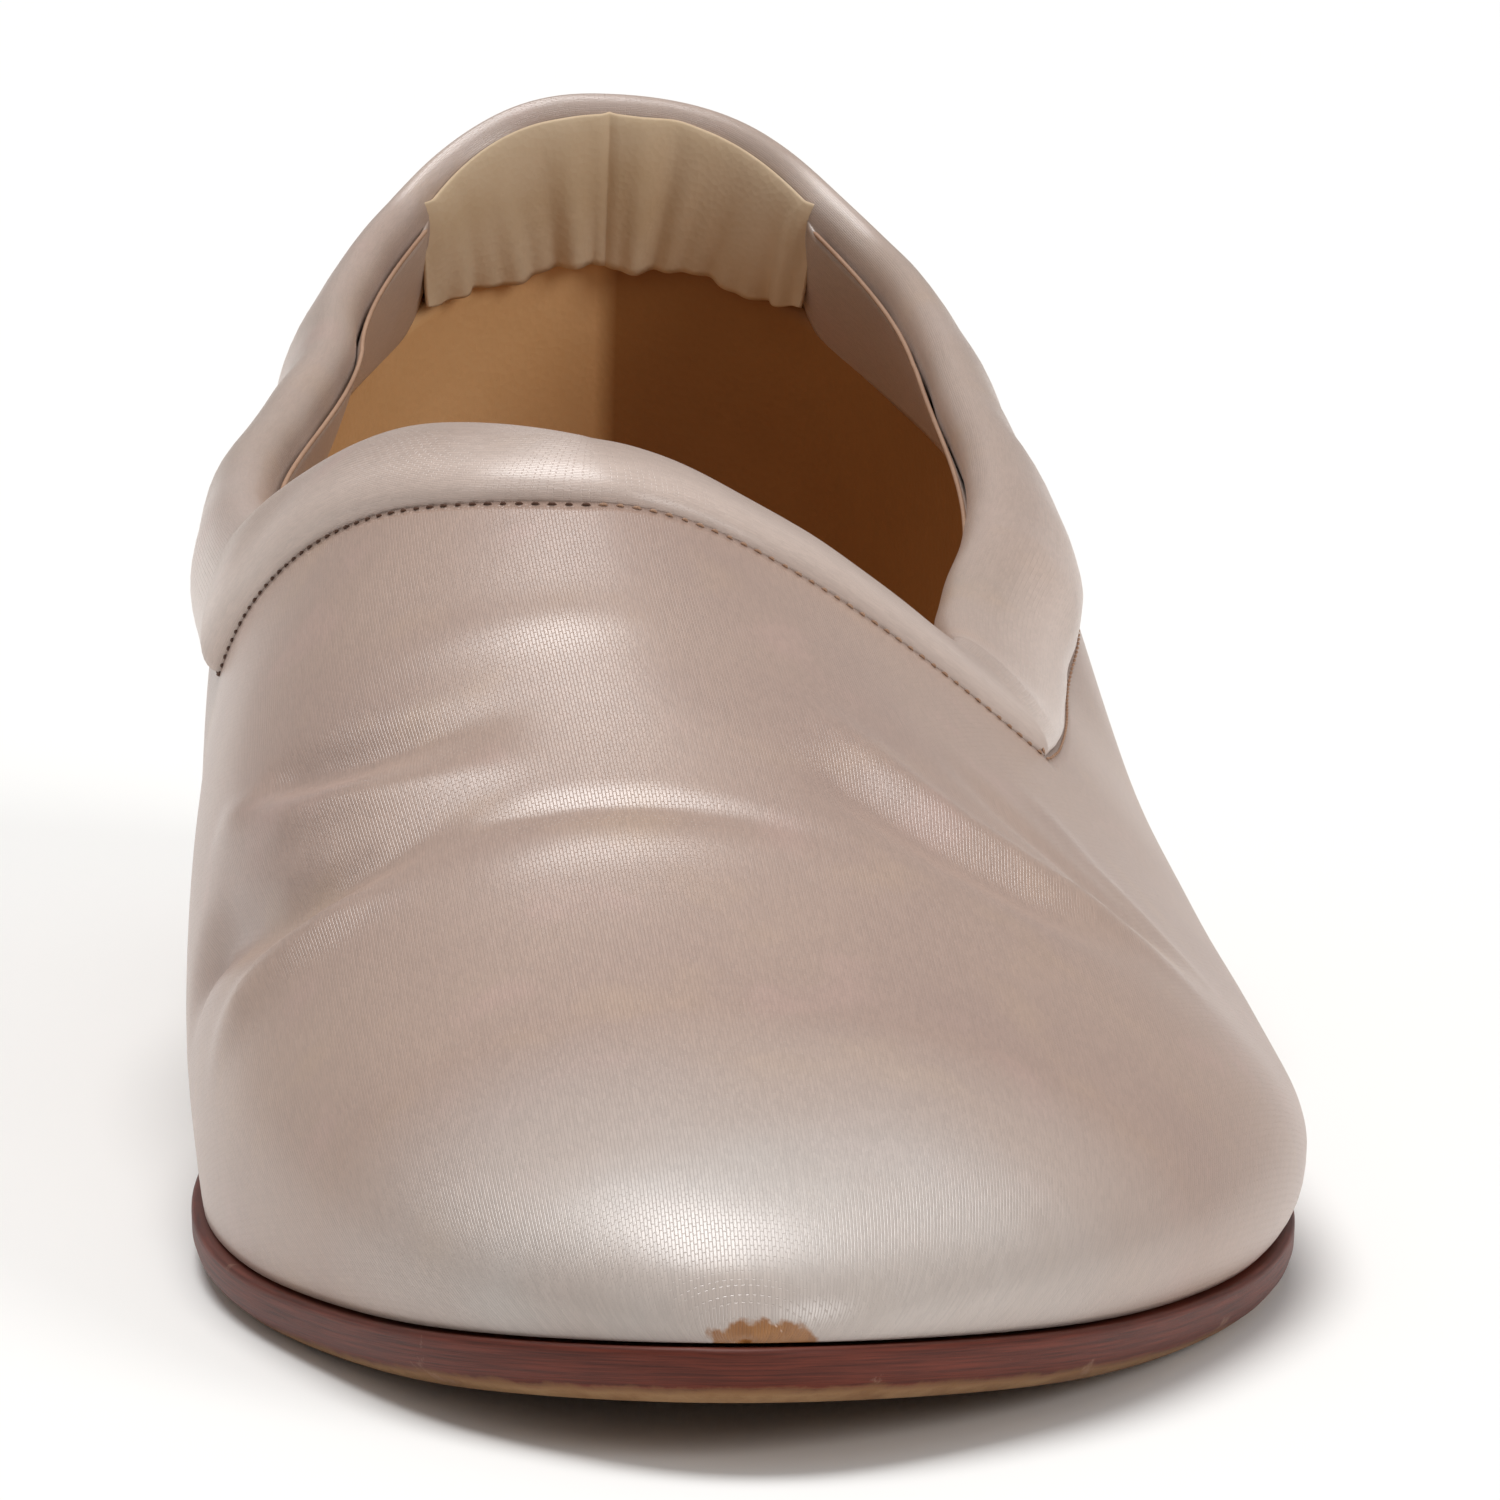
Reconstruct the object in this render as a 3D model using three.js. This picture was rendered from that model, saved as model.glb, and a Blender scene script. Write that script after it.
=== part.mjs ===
// A left ballet flat: satin slipper-cut upper with a padded topline band that meets in a V on
// each side, a thin leather outsole, a low heel and a leather insole.
//
// The shoe is drawn in millimetres. "back" is the distance behind the toe tip, x grows
// towards the outer side and z is up from the floor. side is 1 for the outer (lateral) half
// and -1 for the inner (medial) half.

import * as THREE from 'three';
import { mergeVertices } from 'three/addons/utils/BufferGeometryUtils.js';

// Driving sizes
const shoeLength = 255;
const heelRadius = 45; // how far the round of the heel reaches forward
const heelSquareness = 2.35; // exponent of the heel's outline, 2 would be a plain ellipse
const gap = 0.3; // clearance between pieces that touch

// Sole: thickness, rise of the toe, flat spot of the forefoot, rise to the heel
const soleThickness = 4;
const toeSpring = 4.8;
const toeSpringPower = 1.7;
const flatFront = 56;
const flatBack = 92;
const heelRise = 7.4;
const heelLevelFrom = 196;
const soleLedge = 0.9; // how far the sole's edge stands out past the upper
const soleUndercut = 2.4; // how far the bottom edge is pared back under the widest line
const heelUndercut = 0.5; // the same over the heel, where the edge runs on into the heel's side
const undercutFade = { from: 150, to: 200 };

// Heel block
const heelFront = 201;
const heelTaper = 0.9;

// Upper, insole and topline band
const wall = 1.8;
const insoleThickness = 2.2;
const insoleInset = wall + 1.3;
const bandHeight = 11.4;
const bandInside = wall + 1.0; // how far the band reaches in from the upper's outer face
const leanLift = 0.42; // share of the wall's thickness that a leaning band is raised off its rim
const mitreReach = 26; // length along the seam over which the V's slant dies away
const bandSquareness = { height: 0.8, depth: 0.85 }; // 1 would give the band a plain round section
const tuckBow = 0.7; // how far the upper bows out as it tucks down to the feather line
const seamEase = 40; // length over which the quarters' seam leaves the V's own height

// Throat seam, where the band meets the vamp
const throatFront = 102;
const throatCurl = 1.75;
const corner = {
  lateral: { back: 118, height: 32.2 },
  medial: { back: 135, height: 36.4 },
};

// Footprint of the last where the upper meets the sole, and the line its crest follows
const footprint = [
  { back: 0, lateral: -4.4, medial: -4.4, crest: -4.4 },
  { back: 8, lateral: 10.2, medial: -17.0, crest: -4.4 },
  { back: 20, lateral: 20.4, medial: -25.1, crest: -4.6 },
  { back: 40, lateral: 30.6, medial: -32.5, crest: -5.3 },
  { back: 62, lateral: 38.2, medial: -38.0, crest: -6.4 },
  { back: 85, lateral: 41.2, medial: -39.1, crest: -8.1 },
  { back: 110, lateral: 39.3, medial: -36.4, crest: -9.5 },
  { back: 140, lateral: 33.7, medial: -31.3, crest: -7.3 },
  { back: 175, lateral: 29.5, medial: -29.1, crest: -3.2 },
  { back: 210, lateral: 27.4, medial: -27.2, crest: 0 },
];

// Height of the crest above the feather line
const profile = [
  { back: 0, rise: 0 },
  { back: 8, rise: 9.2 },
  { back: 20, rise: 15.0 },
  { back: 40, rise: 23.0 },
  { back: 62, rise: 32.0 },
  { back: 85, rise: 42.0 },
  { back: 110, rise: 52.5 },
  { back: 140, rise: 60.5 },
  { back: 175, rise: 67.5 },
  { back: 210, rise: 72.5 },
  { back: 255, rise: 90.0 },
];

// Each side of the cross sections: how far it bulges past the feather line and how high its
// widest line lies above it, how full its shoulder is (0 runs straight to the crest, 1 is
// square) and how wide its crown is
const outerWall = [
  { back: 0, bulge: 0, height: 0, full: 0.55, crown: 0.55 },
  { back: 8, bulge: 0.6, height: 2.0, full: 0.55, crown: 0.55 },
  { back: 20, bulge: 1.4, height: 3.6, full: 0.52, crown: 0.55 },
  { back: 40, bulge: 2.0, height: 4.4, full: 0.44, crown: 0.54 },
  { back: 62, bulge: 1.9, height: 5.0, full: 0.32, crown: 0.49 },
  { back: 85, bulge: 1.7, height: 6.2, full: 0.1, crown: 0.38 },
  { back: 110, bulge: 2.2, height: 9.0, full: 0.02, crown: 0.27 },
  { back: 140, bulge: 3.9, height: 13.4, full: 0.02, crown: 0.24 },
  { back: 157, bulge: 4.9, height: 15.2, full: 0.05, crown: 0.28 },
  { back: 175, bulge: 5.7, height: 16.2, full: 0.25, crown: 0.4 },
  { back: 210, bulge: 3.9, height: 15.6, full: 0.52, crown: 0.45 },
  { back: 255, bulge: 2.6, height: 15.8, full: 0.5, crown: 0.39 },
];
const innerWall = [
  { back: 0, bulge: 0, height: 0, full: 0.55, crown: 0.55 },
  { back: 8, bulge: 0.5, height: 2.0, full: 0.55, crown: 0.55 },
  { back: 20, bulge: 0.9, height: 3.6, full: 0.55, crown: 0.55 },
  { back: 40, bulge: 1.0, height: 5.0, full: 0.59, crown: 0.53 },
  { back: 62, bulge: 0.5, height: 5.8, full: 0.62, crown: 0.49 },
  { back: 85, bulge: 0.8, height: 8.0, full: 0.66, crown: 0.46 },
  { back: 110, bulge: 3.2, height: 11.4, full: 0.7, crown: 0.42 },
  { back: 140, bulge: 6.4, height: 14.0, full: 0.68, crown: 0.42 },
  { back: 175, bulge: 6.0, height: 15.6, full: 0.66, crown: 0.52 },
  { back: 210, bulge: 3.6, height: 15.0, full: 0.46, crown: 0.42 },
  { back: 255, bulge: 2.6, height: 15.8, full: 0.5, crown: 0.39 },
];

// Height of the quarters' seam, the band's lower edge, how far the band puffs out there and
// by how many degrees each side of it leans in over the foot
const quarters = [
  { back: 124, lateral: 31.0, medial: 36.2, puffOut: 1.5, puffIn: 2.4, leanOut: 5, leanIn: 4 },
  { back: 142, lateral: 32.0, medial: 36.4, puffOut: 1.9, puffIn: 2.6, leanOut: 20, leanIn: 2 },
  { back: 160, lateral: 33.7, medial: 36.8, puffOut: 2.6, puffIn: 2.8, leanOut: 27, leanIn: 4 },
  { back: 190, lateral: 38.4, medial: 39.8, puffOut: 2.8, puffIn: 2.8, leanOut: 20, leanIn: 10 },
  { back: 210, lateral: 43.3, medial: 44.2, puffOut: 2.2, puffIn: 2.2, leanOut: 14, leanIn: 10 },
  { back: 235, lateral: 51.9, medial: 52.1, puffOut: 1.6, puffIn: 1.6, leanOut: 5, leanIn: 5 },
  { back: 255, lateral: 58.4, medial: 58.4, puffOut: 1.2, puffIn: 1.2, leanOut: 2, leanIn: 2 },
];
const throatPuff = 2.2;
const throatLean = 13;

// Mesh fineness
const toeRows = 30;
const throatColumns = 11;
const wallColumns = 4;
const tuckColumns = 2;
const quarterColumns = 26;
const bandCorners = 12;
const soleRows = 34;
const heelRows = 12;
const toeCrowding = 1.7; // rows lie closer together towards the toe by this power of their share
const soleCrowding = 1.5;
const rootStep = 0.01; // steps for slopes, along the root of back and along turn
const turnStep = 0.002;

const heelCentre = shoeLength - heelRadius;

// A smooth curve through one column of a table: cubic pieces that share slope and curvature,
// free at the first row and level at the last.
function curveThrough(rows, column, place = Math.sqrt) {
  const at = rows.map((row) => place(row.back));
  const value = rows.map((row) => row[column]);
  const last = rows.length - 1;
  const step = at.slice(1).map((x, i) => x - at[i]);
  const rise = value.slice(1).map((v, i) => (v - value[i]) / step[i]);
  // Slopes by elimination of the usual three-term rows
  const factor = [0.5];
  const slope = [1.5 * rise[0]];
  for (let i = 1; i < last; i += 1) {
    const pivot = 2 * (step[i - 1] + step[i]) - step[i] * factor[i - 1];
    factor.push(step[i - 1] / pivot);
    slope.push((3 * (step[i] * rise[i - 1] + step[i - 1] * rise[i]) - step[i] * slope[i - 1]) / pivot);
  }
  slope.push(0);
  for (let i = last - 1; i >= 0; i -= 1) slope[i] -= factor[i] * slope[i + 1];
  return (back) => {
    const x = Math.min(Math.max(place(Math.max(back, 0)), at[0]), at[last]);
    let i = 0;
    while (i < last - 1 && x > at[i + 1]) i += 1;
    const t = (x - at[i]) / step[i];
    const start = value[i] * (1 + 2 * t) + step[i] * slope[i] * t;
    const end = value[i + 1] * (3 - 2 * t) - step[i] * slope[i + 1] * (1 - t);
    return start * (1 - t) ** 2 + end * t ** 2;
  };
}

const plain = (back) => back;
const outline = {
  lateral: curveThrough(footprint, 'lateral'),
  medial: curveThrough(footprint, 'medial'),
  crest: curveThrough(footprint, 'crest'),
};
const crestRise = curveThrough(profile, 'rise');
const curvesOf = (rows) => ({
  bulge: curveThrough(rows, 'bulge'),
  height: curveThrough(rows, 'height'),
  full: curveThrough(rows, 'full'),
  crown: curveThrough(rows, 'crown'),
});
const sideWall = { lateral: curvesOf(outerWall), medial: curvesOf(innerWall) };
const seamHeight = {
  lateral: curveThrough(quarters, 'lateral', plain),
  medial: curveThrough(quarters, 'medial', plain),
};
const puffAlong = {
  lateral: curveThrough(quarters, 'puffOut', plain),
  medial: curveThrough(quarters, 'puffIn', plain),
};
const leanAlong = {
  lateral: curveThrough(quarters, 'leanOut', plain),
  medial: curveThrough(quarters, 'leanIn', plain),
};

const sideName = (side) => (side > 0 ? 'lateral' : 'medial');
const smoothStep = (t) => t * t * (3 - 2 * t);
const clamp01 = (t) => Math.min(Math.max(t, 0), 1);

// Top face of the outsole: it rises to the toe, lies flat under the forefoot and climbs
// through the arch to the heel.
function soleTop(back) {
  const toe = toeSpring * Math.max((flatFront - back) / flatFront, 0) ** toeSpringPower;
  const arch = heelRise * smoothStep(clamp01((back - flatBack) / (heelLevelFrom - flatBack)));
  return soleThickness + toe + arch;
}

// A section's centre and direction: square to the shoe's length ahead of the heel centre,
// then a fan of sections round it. reach is the distance to the footprint's edge.
function sectionFrame(back, side) {
  const at = Math.min(back, heelCentre);
  const crest = outline.crest(at);
  const halfWidth = side * (outline[sideName(side)](at) - crest);
  const turn = clamp01((back - heelCentre) / heelRadius) * (Math.PI / 2);
  const across = halfWidth * Math.cos(turn) ** (2 / heelSquareness);
  const along = heelRadius * Math.sin(turn) ** (2 / heelSquareness);
  const reach = Math.hypot(across, along);
  const spread = turn > 0 ? [across / reach, along / reach] : [1, 0];
  return { crest, at, dx: side * spread[0], dy: spread[1], reach };
}

// A point of the upper's outer face. turn runs from -1 at the feather line to 0 at the widest
// line (a bowed tuck), then to 1 at the crest (a cubic curve, upright below and level above).
function lastPoint(back, side, turn) {
  const { crest, at, dx, dy, reach } = sectionFrame(back, side);
  const shape = sideWall[sideName(side)];
  const wide = reach + shape.bulge(back);
  const low = shape.height(back);
  const high = crestRise(back);
  let radius;
  let height;
  if (turn < 0) {
    const t = turn + 1;
    radius = reach * (1 - t) ** 2 + wide * (2 * t * (1 - t) + t * t);
    height = low * (tuckBow * t * (1 - t) + t * t);
  } else {
    const t = turn;
    const first = 3 * (1 - t) ** 2 * t;
    const second = 3 * (1 - t) * t * t;
    radius = wide * ((1 - t) ** 3 + first + second * shape.crown(back));
    height = low + (high - low) * (first * shape.full(back) + second + t ** 3);
  }
  const y = at + dy * radius;
  return new THREE.Vector3(crest + dx * radius, y, soleTop(at + dy * reach) + gap + height);
}

// Outward direction of that face. Near the feather line it is laid level, so that the upper's
// lower edge is cut square to the sole.
function lastNormal(back, side, turn) {
  if (back === 0) return new THREE.Vector3(0, -1, 0);
  const root = Math.sqrt(back);
  const forward = lastPoint(Math.min(root + rootStep, Math.sqrt(shoeLength)) ** 2, side, turn);
  forward.sub(lastPoint((root - rootStep) ** 2, side, turn));
  const upward = lastPoint(back, side, Math.min(turn + turnStep, 1));
  upward.sub(lastPoint(back, side, Math.max(turn - turnStep, -1)));
  const normal = upward.cross(forward).multiplyScalar(-side);
  normal.z *= smoothStep(clamp01(turn + 1));
  return normal.normalize();
}

// The turn at which a section reaches a height
function turnAt(back, side, height) {
  let low = 0;
  let high = 1;
  for (let i = 0; i < 30; i += 1) {
    const middle = (low + high) / 2;
    if (lastPoint(back, side, middle).z < height) low = middle;
    else high = middle;
  }
  return (low + high) / 2;
}

const cornerTurn = (side) => turnAt(corner[sideName(side)].back, side, corner[sideName(side)].height);

// The throat seam: share is 0 at the V and 1 on the crest
function throatSeam(side, share) {
  const turn = cornerTurn(side);
  const { back } = corner[sideName(side)];
  return {
    back: throatFront + (back - throatFront) * (1 - share) ** throatCurl,
    turn: turn + (1 - turn) * share,
  };
}

// The quarter seam: share is 0 at the V and 1 at the back of the heel. The table's height is
// eased into the corner's own over the first stretch.
function quarterSeam(side, share) {
  const start = corner[sideName(side)];
  const back = start.back + (shoeLength - start.back) * share;
  const table = seamHeight[sideName(side)];
  const ease = Math.max(1 - (back - start.back) / seamEase, 0) ** 2;
  return { back, turn: turnAt(back, side, table(back) + (start.height - table(start.back)) * ease) };
}

// Triangles of a grid of points, facing the viewer who sees its rows run down and its columns
// run to the right; flip turns them round.
function gridTriangles(grid, flip) {
  const triangles = [];
  for (let r = 0; r + 1 < grid.length; r += 1) {
    for (let c = 0; c + 1 < grid[r].length; c += 1) {
      const [a, b, d, e] = [grid[r][c], grid[r][c + 1], grid[r + 1][c], grid[r + 1][c + 1]];
      const pair = flip ? [a, b, e, a, e, d] : [a, e, b, a, d, e];
      triangles.push(...pair);
    }
  }
  return triangles;
}

// One closed mesh from patches that share their edges
function solid(name, material, patches) {
  const corners = patches.flatMap(({ grid, flip }) => gridTriangles(grid, flip));
  const points = new Float32Array(corners.flatMap((p) => [p.x, p.y, p.z]));
  const loose = new THREE.BufferGeometry().setAttribute('position', new THREE.BufferAttribute(points, 3));
  const welded = mergeVertices(loose, 1e-4);
  const index = welded.getIndex().array;
  const kept = [];
  for (let i = 0; i < index.length; i += 3) {
    const [a, b, c] = index.slice(i, i + 3);
    if (a !== b && b !== c && c !== a) kept.push(a, b, c);
  }
  welded.setIndex(kept);
  welded.computeVertexNormals();
  const mesh = new THREE.Mesh(welded, material);
  mesh.name = name;
  return mesh;
}

const steps = (count) => Array.from({ length: count + 1 }, (_, i) => i / count);

// Upper

// Turns of the vamp's columns from the feather line to the crest, for one side and share
function vampColumns(side) {
  const turn = cornerTurn(side);
  const tuck = steps(tuckColumns).map((t) => ({ turn: t - 1, back: corner[sideName(side)].back }));
  const low = steps(wallColumns).slice(1).map((t) => ({ turn: turn * t, back: corner[sideName(side)].back }));
  const high = steps(throatColumns).slice(1).map((t) => throatSeam(side, t));
  return [...tuck, ...low, ...high];
}

function faced(back, side, turn, depth) {
  return lastPoint(back, side, turn).addScaledVector(lastNormal(back, side, turn), -depth);
}

// Rows from the toe tip to the throat, columns from the outer feather line over the crest
function vampGrid(depth) {
  const outer = vampColumns(1).map((c) => ({ ...c, side: 1 }));
  const inner = vampColumns(-1).map((c) => ({ ...c, side: -1 })).reverse().slice(1);
  return steps(toeRows).map((t) => [...outer, ...inner].map(
    (c) => faced(c.back * t ** toeCrowding, c.side, c.turn, depth),
  ));
}

// Rows from the outer V round the heel to the inner V, columns from feather line to seam
function quarterGrid(depth) {
  const half = (side) => steps(quarterColumns).map((share) => {
    const seam = quarterSeam(side, share);
    const tuck = steps(tuckColumns).map((t) => t - 1);
    const high = steps(wallColumns).slice(1).map((t) => seam.turn * t);
    return [...tuck, ...high].map((turn) => faced(seam.back, side, turn, depth));
  });
  return [...half(1), ...half(-1).reverse().slice(1)];
}

function makeUpper() {
  const vamp = { out: vampGrid(0), in: vampGrid(wall) };
  const quarter = { out: quarterGrid(0), in: quarterGrid(wall) };
  const lowColumns = tuckColumns + wallColumns;
  const firstOf = (grid) => grid.map((row) => row[0]);
  const lastOf = (grid) => grid.map((row) => row[row.length - 1]);
  const throat = (grid) => grid[toeRows].slice(lowColumns, grid[toeRows].length - lowColumns);
  return solid('upper', satin, [
    { grid: vamp.out, flip: false },
    { grid: vamp.in, flip: true },
    { grid: quarter.out, flip: false },
    { grid: quarter.in, flip: true },
    { grid: [firstOf(vamp.out), firstOf(vamp.in)], flip: false },
    { grid: [lastOf(vamp.out), lastOf(vamp.in)], flip: true },
    { grid: [firstOf(quarter.out), firstOf(quarter.in)], flip: false },
    { grid: [lastOf(quarter.out), lastOf(quarter.in)], flip: true },
    { grid: [throat(vamp.out), throat(vamp.in)], flip: false },
  ]);
}

// Topline band

// Stations of half of the seam loop, from the crest down to the V and back to the heel, each
// with its point, outward normal and the way up the band's face. Near the V the way up slants
// along the seam, so that the two runs meet on one mitre.
function bandStations(side) {
  const run = (seams) => seams.map(({ back, turn }) => ({
    back,
    point: lastPoint(back, side, turn),
    normal: lastNormal(back, side, turn),
  }));
  const throat = run(steps(throatColumns).map((t) => throatSeam(side, t)));
  const quarter = run(steps(quarterColumns).map((t) => quarterSeam(side, t)));
  for (const stations of [throat, quarter]) {
    stations.forEach((station, i) => {
      const ahead = stations[Math.min(i + 1, stations.length - 1)].point;
      const behind = stations[Math.max(i - 1, 0)].point;
      station.along = ahead.clone().sub(behind);
      const before = stations[Math.max(i - 1, 0)];
      station.travelled = i ? before.travelled + station.point.distanceTo(before.point) : 0;
    });
    // On the shoe's centre line the seam runs square across it
    const end = stations[stations.length - 1];
    end.along.set(-side, 0, 0);
    stations.forEach(({ along, normal }) => along.addScaledVector(normal, -along.dot(normal)).normalize());
  }
  const cosine = throat[0].along.dot(quarter[0].along);
  const mitre = (1 + cosine) / Math.sqrt(1 - cosine ** 2);
  for (const stations of [throat, quarter]) {
    for (const station of stations) {
      const { along, normal, travelled } = station;
      const square = new THREE.Vector3().crossVectors(normal, along).normalize();
      if (square.dot(new THREE.Vector3(0, 0.6, 1)) < 0) square.negate();
      const share = stations === throat ? clamp01(travelled / throat[throat.length - 1].travelled) : 0;
      const blend = (quarterValue, throatValue) => quarterValue + (throatValue - quarterValue) * share;
      const lean = blend(leanAlong[sideName(side)](station.back), throatLean);
      const tilt = (lean * Math.PI) / 180;
      const upright = square.clone().multiplyScalar(Math.cos(tilt)).addScaledVector(normal, -Math.sin(tilt));
      normal.multiplyScalar(Math.cos(tilt)).addScaledVector(square, Math.sin(tilt));
      const slant = mitre * Math.max(1 - travelled / mitreReach, 0) ** 2;
      station.up = upright.addScaledVector(along, slant);
      station.puff = blend(puffAlong[sideName(side)](station.back), throatPuff);
      station.lift = leanLift * wall * Math.sin(tilt);
    }
  }
  return [...throat.reverse(), ...quarter.slice(1)];
}

// The band's rounded section at a station, as a closed ring of points
function bandRing({ point, normal, up, puff, lift }) {
  const middle = (bandHeight + gap) / 2;
  const half = (bandHeight - gap) / 2;
  return steps(bandCorners).map((t) => {
    const angle = 2 * Math.PI * t;
    const c = Math.cos(angle);
    const s = Math.sin(angle);
    const height = lift + middle + half * Math.sign(c) * Math.abs(c) ** bandSquareness.height;
    const reach = s > 0 ? puff : bandInside;
    const depth = reach * Math.sign(s) * Math.abs(s) ** bandSquareness.depth;
    return point.clone().addScaledVector(up, height).addScaledVector(normal, depth);
  });
}

function makeBand() {
  const outer = bandStations(1).map(bandRing);
  const inner = bandStations(-1).map(bandRing).reverse();
  const loop = [...outer, ...inner.slice(1)];
  loop[loop.length - 1] = loop[0];
  return solid('topline_band', bandSatin, [{ grid: loop, flip: true }]);
}

// Sole, insole and heel

// The footprint's edge, moved outwards by grow square to itself
function edgePoint(back, side, grow) {
  const place = (at) => {
    const { crest, at: y, dx, dy, reach } = sectionFrame(at, side);
    return new THREE.Vector2(crest + dx * reach, y + dy * reach);
  };
  if (back === 0) return place(0).add(new THREE.Vector2(0, -grow));
  if (back === shoeLength) return place(back).add(new THREE.Vector2(0, grow));
  const root = Math.sqrt(back);
  const ahead = place(Math.min((root + rootStep) ** 2, shoeLength));
  const run = ahead.sub(place((root - rootStep) ** 2)).normalize();
  return place(back).add(new THREE.Vector2(run.y, -run.x).multiplyScalar(side * grow));
}

function undercutAt(back) {
  const share = smoothStep(clamp01((back - undercutFade.from) / (undercutFade.to - undercutFade.from)));
  return soleUndercut + (heelUndercut - soleUndercut) * share;
}

const soleStations = [
  ...steps(soleRows).map((t) => heelCentre * t ** soleCrowding),
  ...steps(heelRows).slice(1).map((t) => heelCentre + heelRadius * t),
];

// A plate that follows the sole's line. Each level of its edge has a grow, the share of the
// undercut that is pared off it, and a drop below the sole's top face.
function plate(name, material, stations, levels) {
  const point = (back, side, { grow, pared = 0, drop }) => {
    const p = edgePoint(back, side, grow - pared * undercutAt(back));
    return new THREE.Vector3(p.x, p.y, soleTop(Math.max(p.y, 0)) - drop);
  };
  const edge = (side) => levels.map((level) => stations.map((back) => point(back, side, level)));
  const [outer, inner] = [edge(1), edge(-1)];
  const cap = (i) => [outer[i], inner[i]];
  const bottom = levels.length - 1;
  return solid(name, material, [
    { grid: outer, flip: false },
    { grid: inner, flip: true },
    { grid: cap(0), flip: true },
    { grid: cap(bottom), flip: false },
    { grid: outer.map((row, i) => [row[0], inner[i][0]]), flip: true },
    { grid: outer.map((row, i) => [row.at(-1), inner[i].at(-1)]), flip: false },
  ]);
}

function makeOutsole() {
  return plate('outsole', soleLeather, soleStations, [
    { grow: soleLedge - 0.4, drop: 0 },
    { grow: soleLedge, drop: 0.5 },
    { grow: soleLedge, drop: soleThickness * 0.45 },
    { grow: soleLedge, pared: 0.3, drop: soleThickness * 0.75 },
    { grow: soleLedge, pared: 1, drop: soleThickness },
  ]);
}

function makeInsole() {
  return plate('insole', liningLeather, soleStations, [
    { grow: -insoleInset, drop: -gap - insoleThickness },
    { grow: -insoleInset, drop: -gap },
  ]);
}

function makeHeel() {
  const stations = [heelFront, ...soleStations.filter((back) => back > heelFront)];
  return plate('heel', heelLeather, stations, [
    { grow: soleLedge - heelUndercut, drop: soleThickness + gap },
    { grow: soleLedge - heelUndercut - heelTaper, drop: soleThickness + heelRise },
  ]);
}

// Materials
const satin = new THREE.MeshStandardMaterial({ color: '#b8a599', roughness: 0.45, metalness: 0 });
const bandSatin = new THREE.MeshStandardMaterial({ color: '#cbb7ac', roughness: 0.5, metalness: 0 });
const soleLeather = new THREE.MeshStandardMaterial({ color: '#5b2c1e', roughness: 0.5, metalness: 0 });
const heelLeather = new THREE.MeshStandardMaterial({ color: '#4a2a1f', roughness: 0.55, metalness: 0 });
const liningLeather = new THREE.MeshStandardMaterial({ color: '#b88f62', roughness: 0.6, metalness: 0 });

// The shoe stands on the floor with the middle of its outline over the origin, toe towards -Y
const shoe = new THREE.Group();
shoe.add(makeOutsole(), makeHeel(), makeInsole(), makeUpper(), makeBand());
const box = new THREE.Box3().setFromObject(shoe);
const middle = box.getCenter(new THREE.Vector3());
shoe.position.set(-middle.x, -middle.y, -box.min.z);
export default shoe;
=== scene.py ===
import math

import bmesh
import bpy
import numpy as np
from mathutils import Matrix, Vector


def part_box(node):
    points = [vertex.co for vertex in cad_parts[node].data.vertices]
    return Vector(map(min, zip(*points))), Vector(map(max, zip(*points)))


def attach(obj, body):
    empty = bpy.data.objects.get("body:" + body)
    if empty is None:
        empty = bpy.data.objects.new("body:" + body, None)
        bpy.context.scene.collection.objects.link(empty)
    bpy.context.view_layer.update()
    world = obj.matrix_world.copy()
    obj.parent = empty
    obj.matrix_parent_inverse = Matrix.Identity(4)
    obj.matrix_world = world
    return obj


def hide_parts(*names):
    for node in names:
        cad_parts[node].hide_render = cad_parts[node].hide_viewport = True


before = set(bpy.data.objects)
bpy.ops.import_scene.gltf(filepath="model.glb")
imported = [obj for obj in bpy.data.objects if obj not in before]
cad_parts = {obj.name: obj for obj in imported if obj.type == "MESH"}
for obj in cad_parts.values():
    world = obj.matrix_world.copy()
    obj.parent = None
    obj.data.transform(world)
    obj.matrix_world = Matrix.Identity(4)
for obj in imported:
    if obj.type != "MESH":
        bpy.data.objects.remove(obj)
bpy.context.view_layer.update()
print("frame loaded")

# The last
last = {
    "length": 255.0, "heelRadius": 45.0, "heelSquareness": 2.35, "gap": 0.3,
    "soleThickness": 4.0, "toeSpring": 4.8, "toeSpringPower": 1.7, "flatFront": 56.0, "flatBack": 92.0,
    "heelRise": 7.4, "heelLevelFrom": 196.0, "wall": 1.8,
    "throatFront": 102.0, "throatCurl": 1.75, "cornerEase": 40.0,
    "cornerBack": {1: 118.0, -1: 135.0}, "cornerHeight": {1: 32.2, -1: 36.4},
}
heelCentre = last["length"] - last["heelRadius"]

# back, outer edge, inner edge, crest line
footprint = np.array([
    [0, -4.4, -4.4, -4.4], [8, 10.2, -17.0, -4.4], [20, 20.4, -25.1, -4.6], [40, 30.6, -32.5, -5.3],
    [62, 38.2, -38.0, -6.4], [85, 41.2, -39.1, -8.1], [110, 39.3, -36.4, -9.5], [140, 33.7, -31.3, -7.3],
    [175, 29.5, -29.1, -3.2], [210, 27.4, -27.2, 0]])
# back, height of the crest above the feather line
profile = np.array([
    [0, 0], [8, 9.2], [20, 15.0], [40, 23.0], [62, 32.0], [85, 42.0], [110, 52.5], [140, 60.5],
    [175, 67.5], [210, 72.5], [255, 90.0]])
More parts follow.
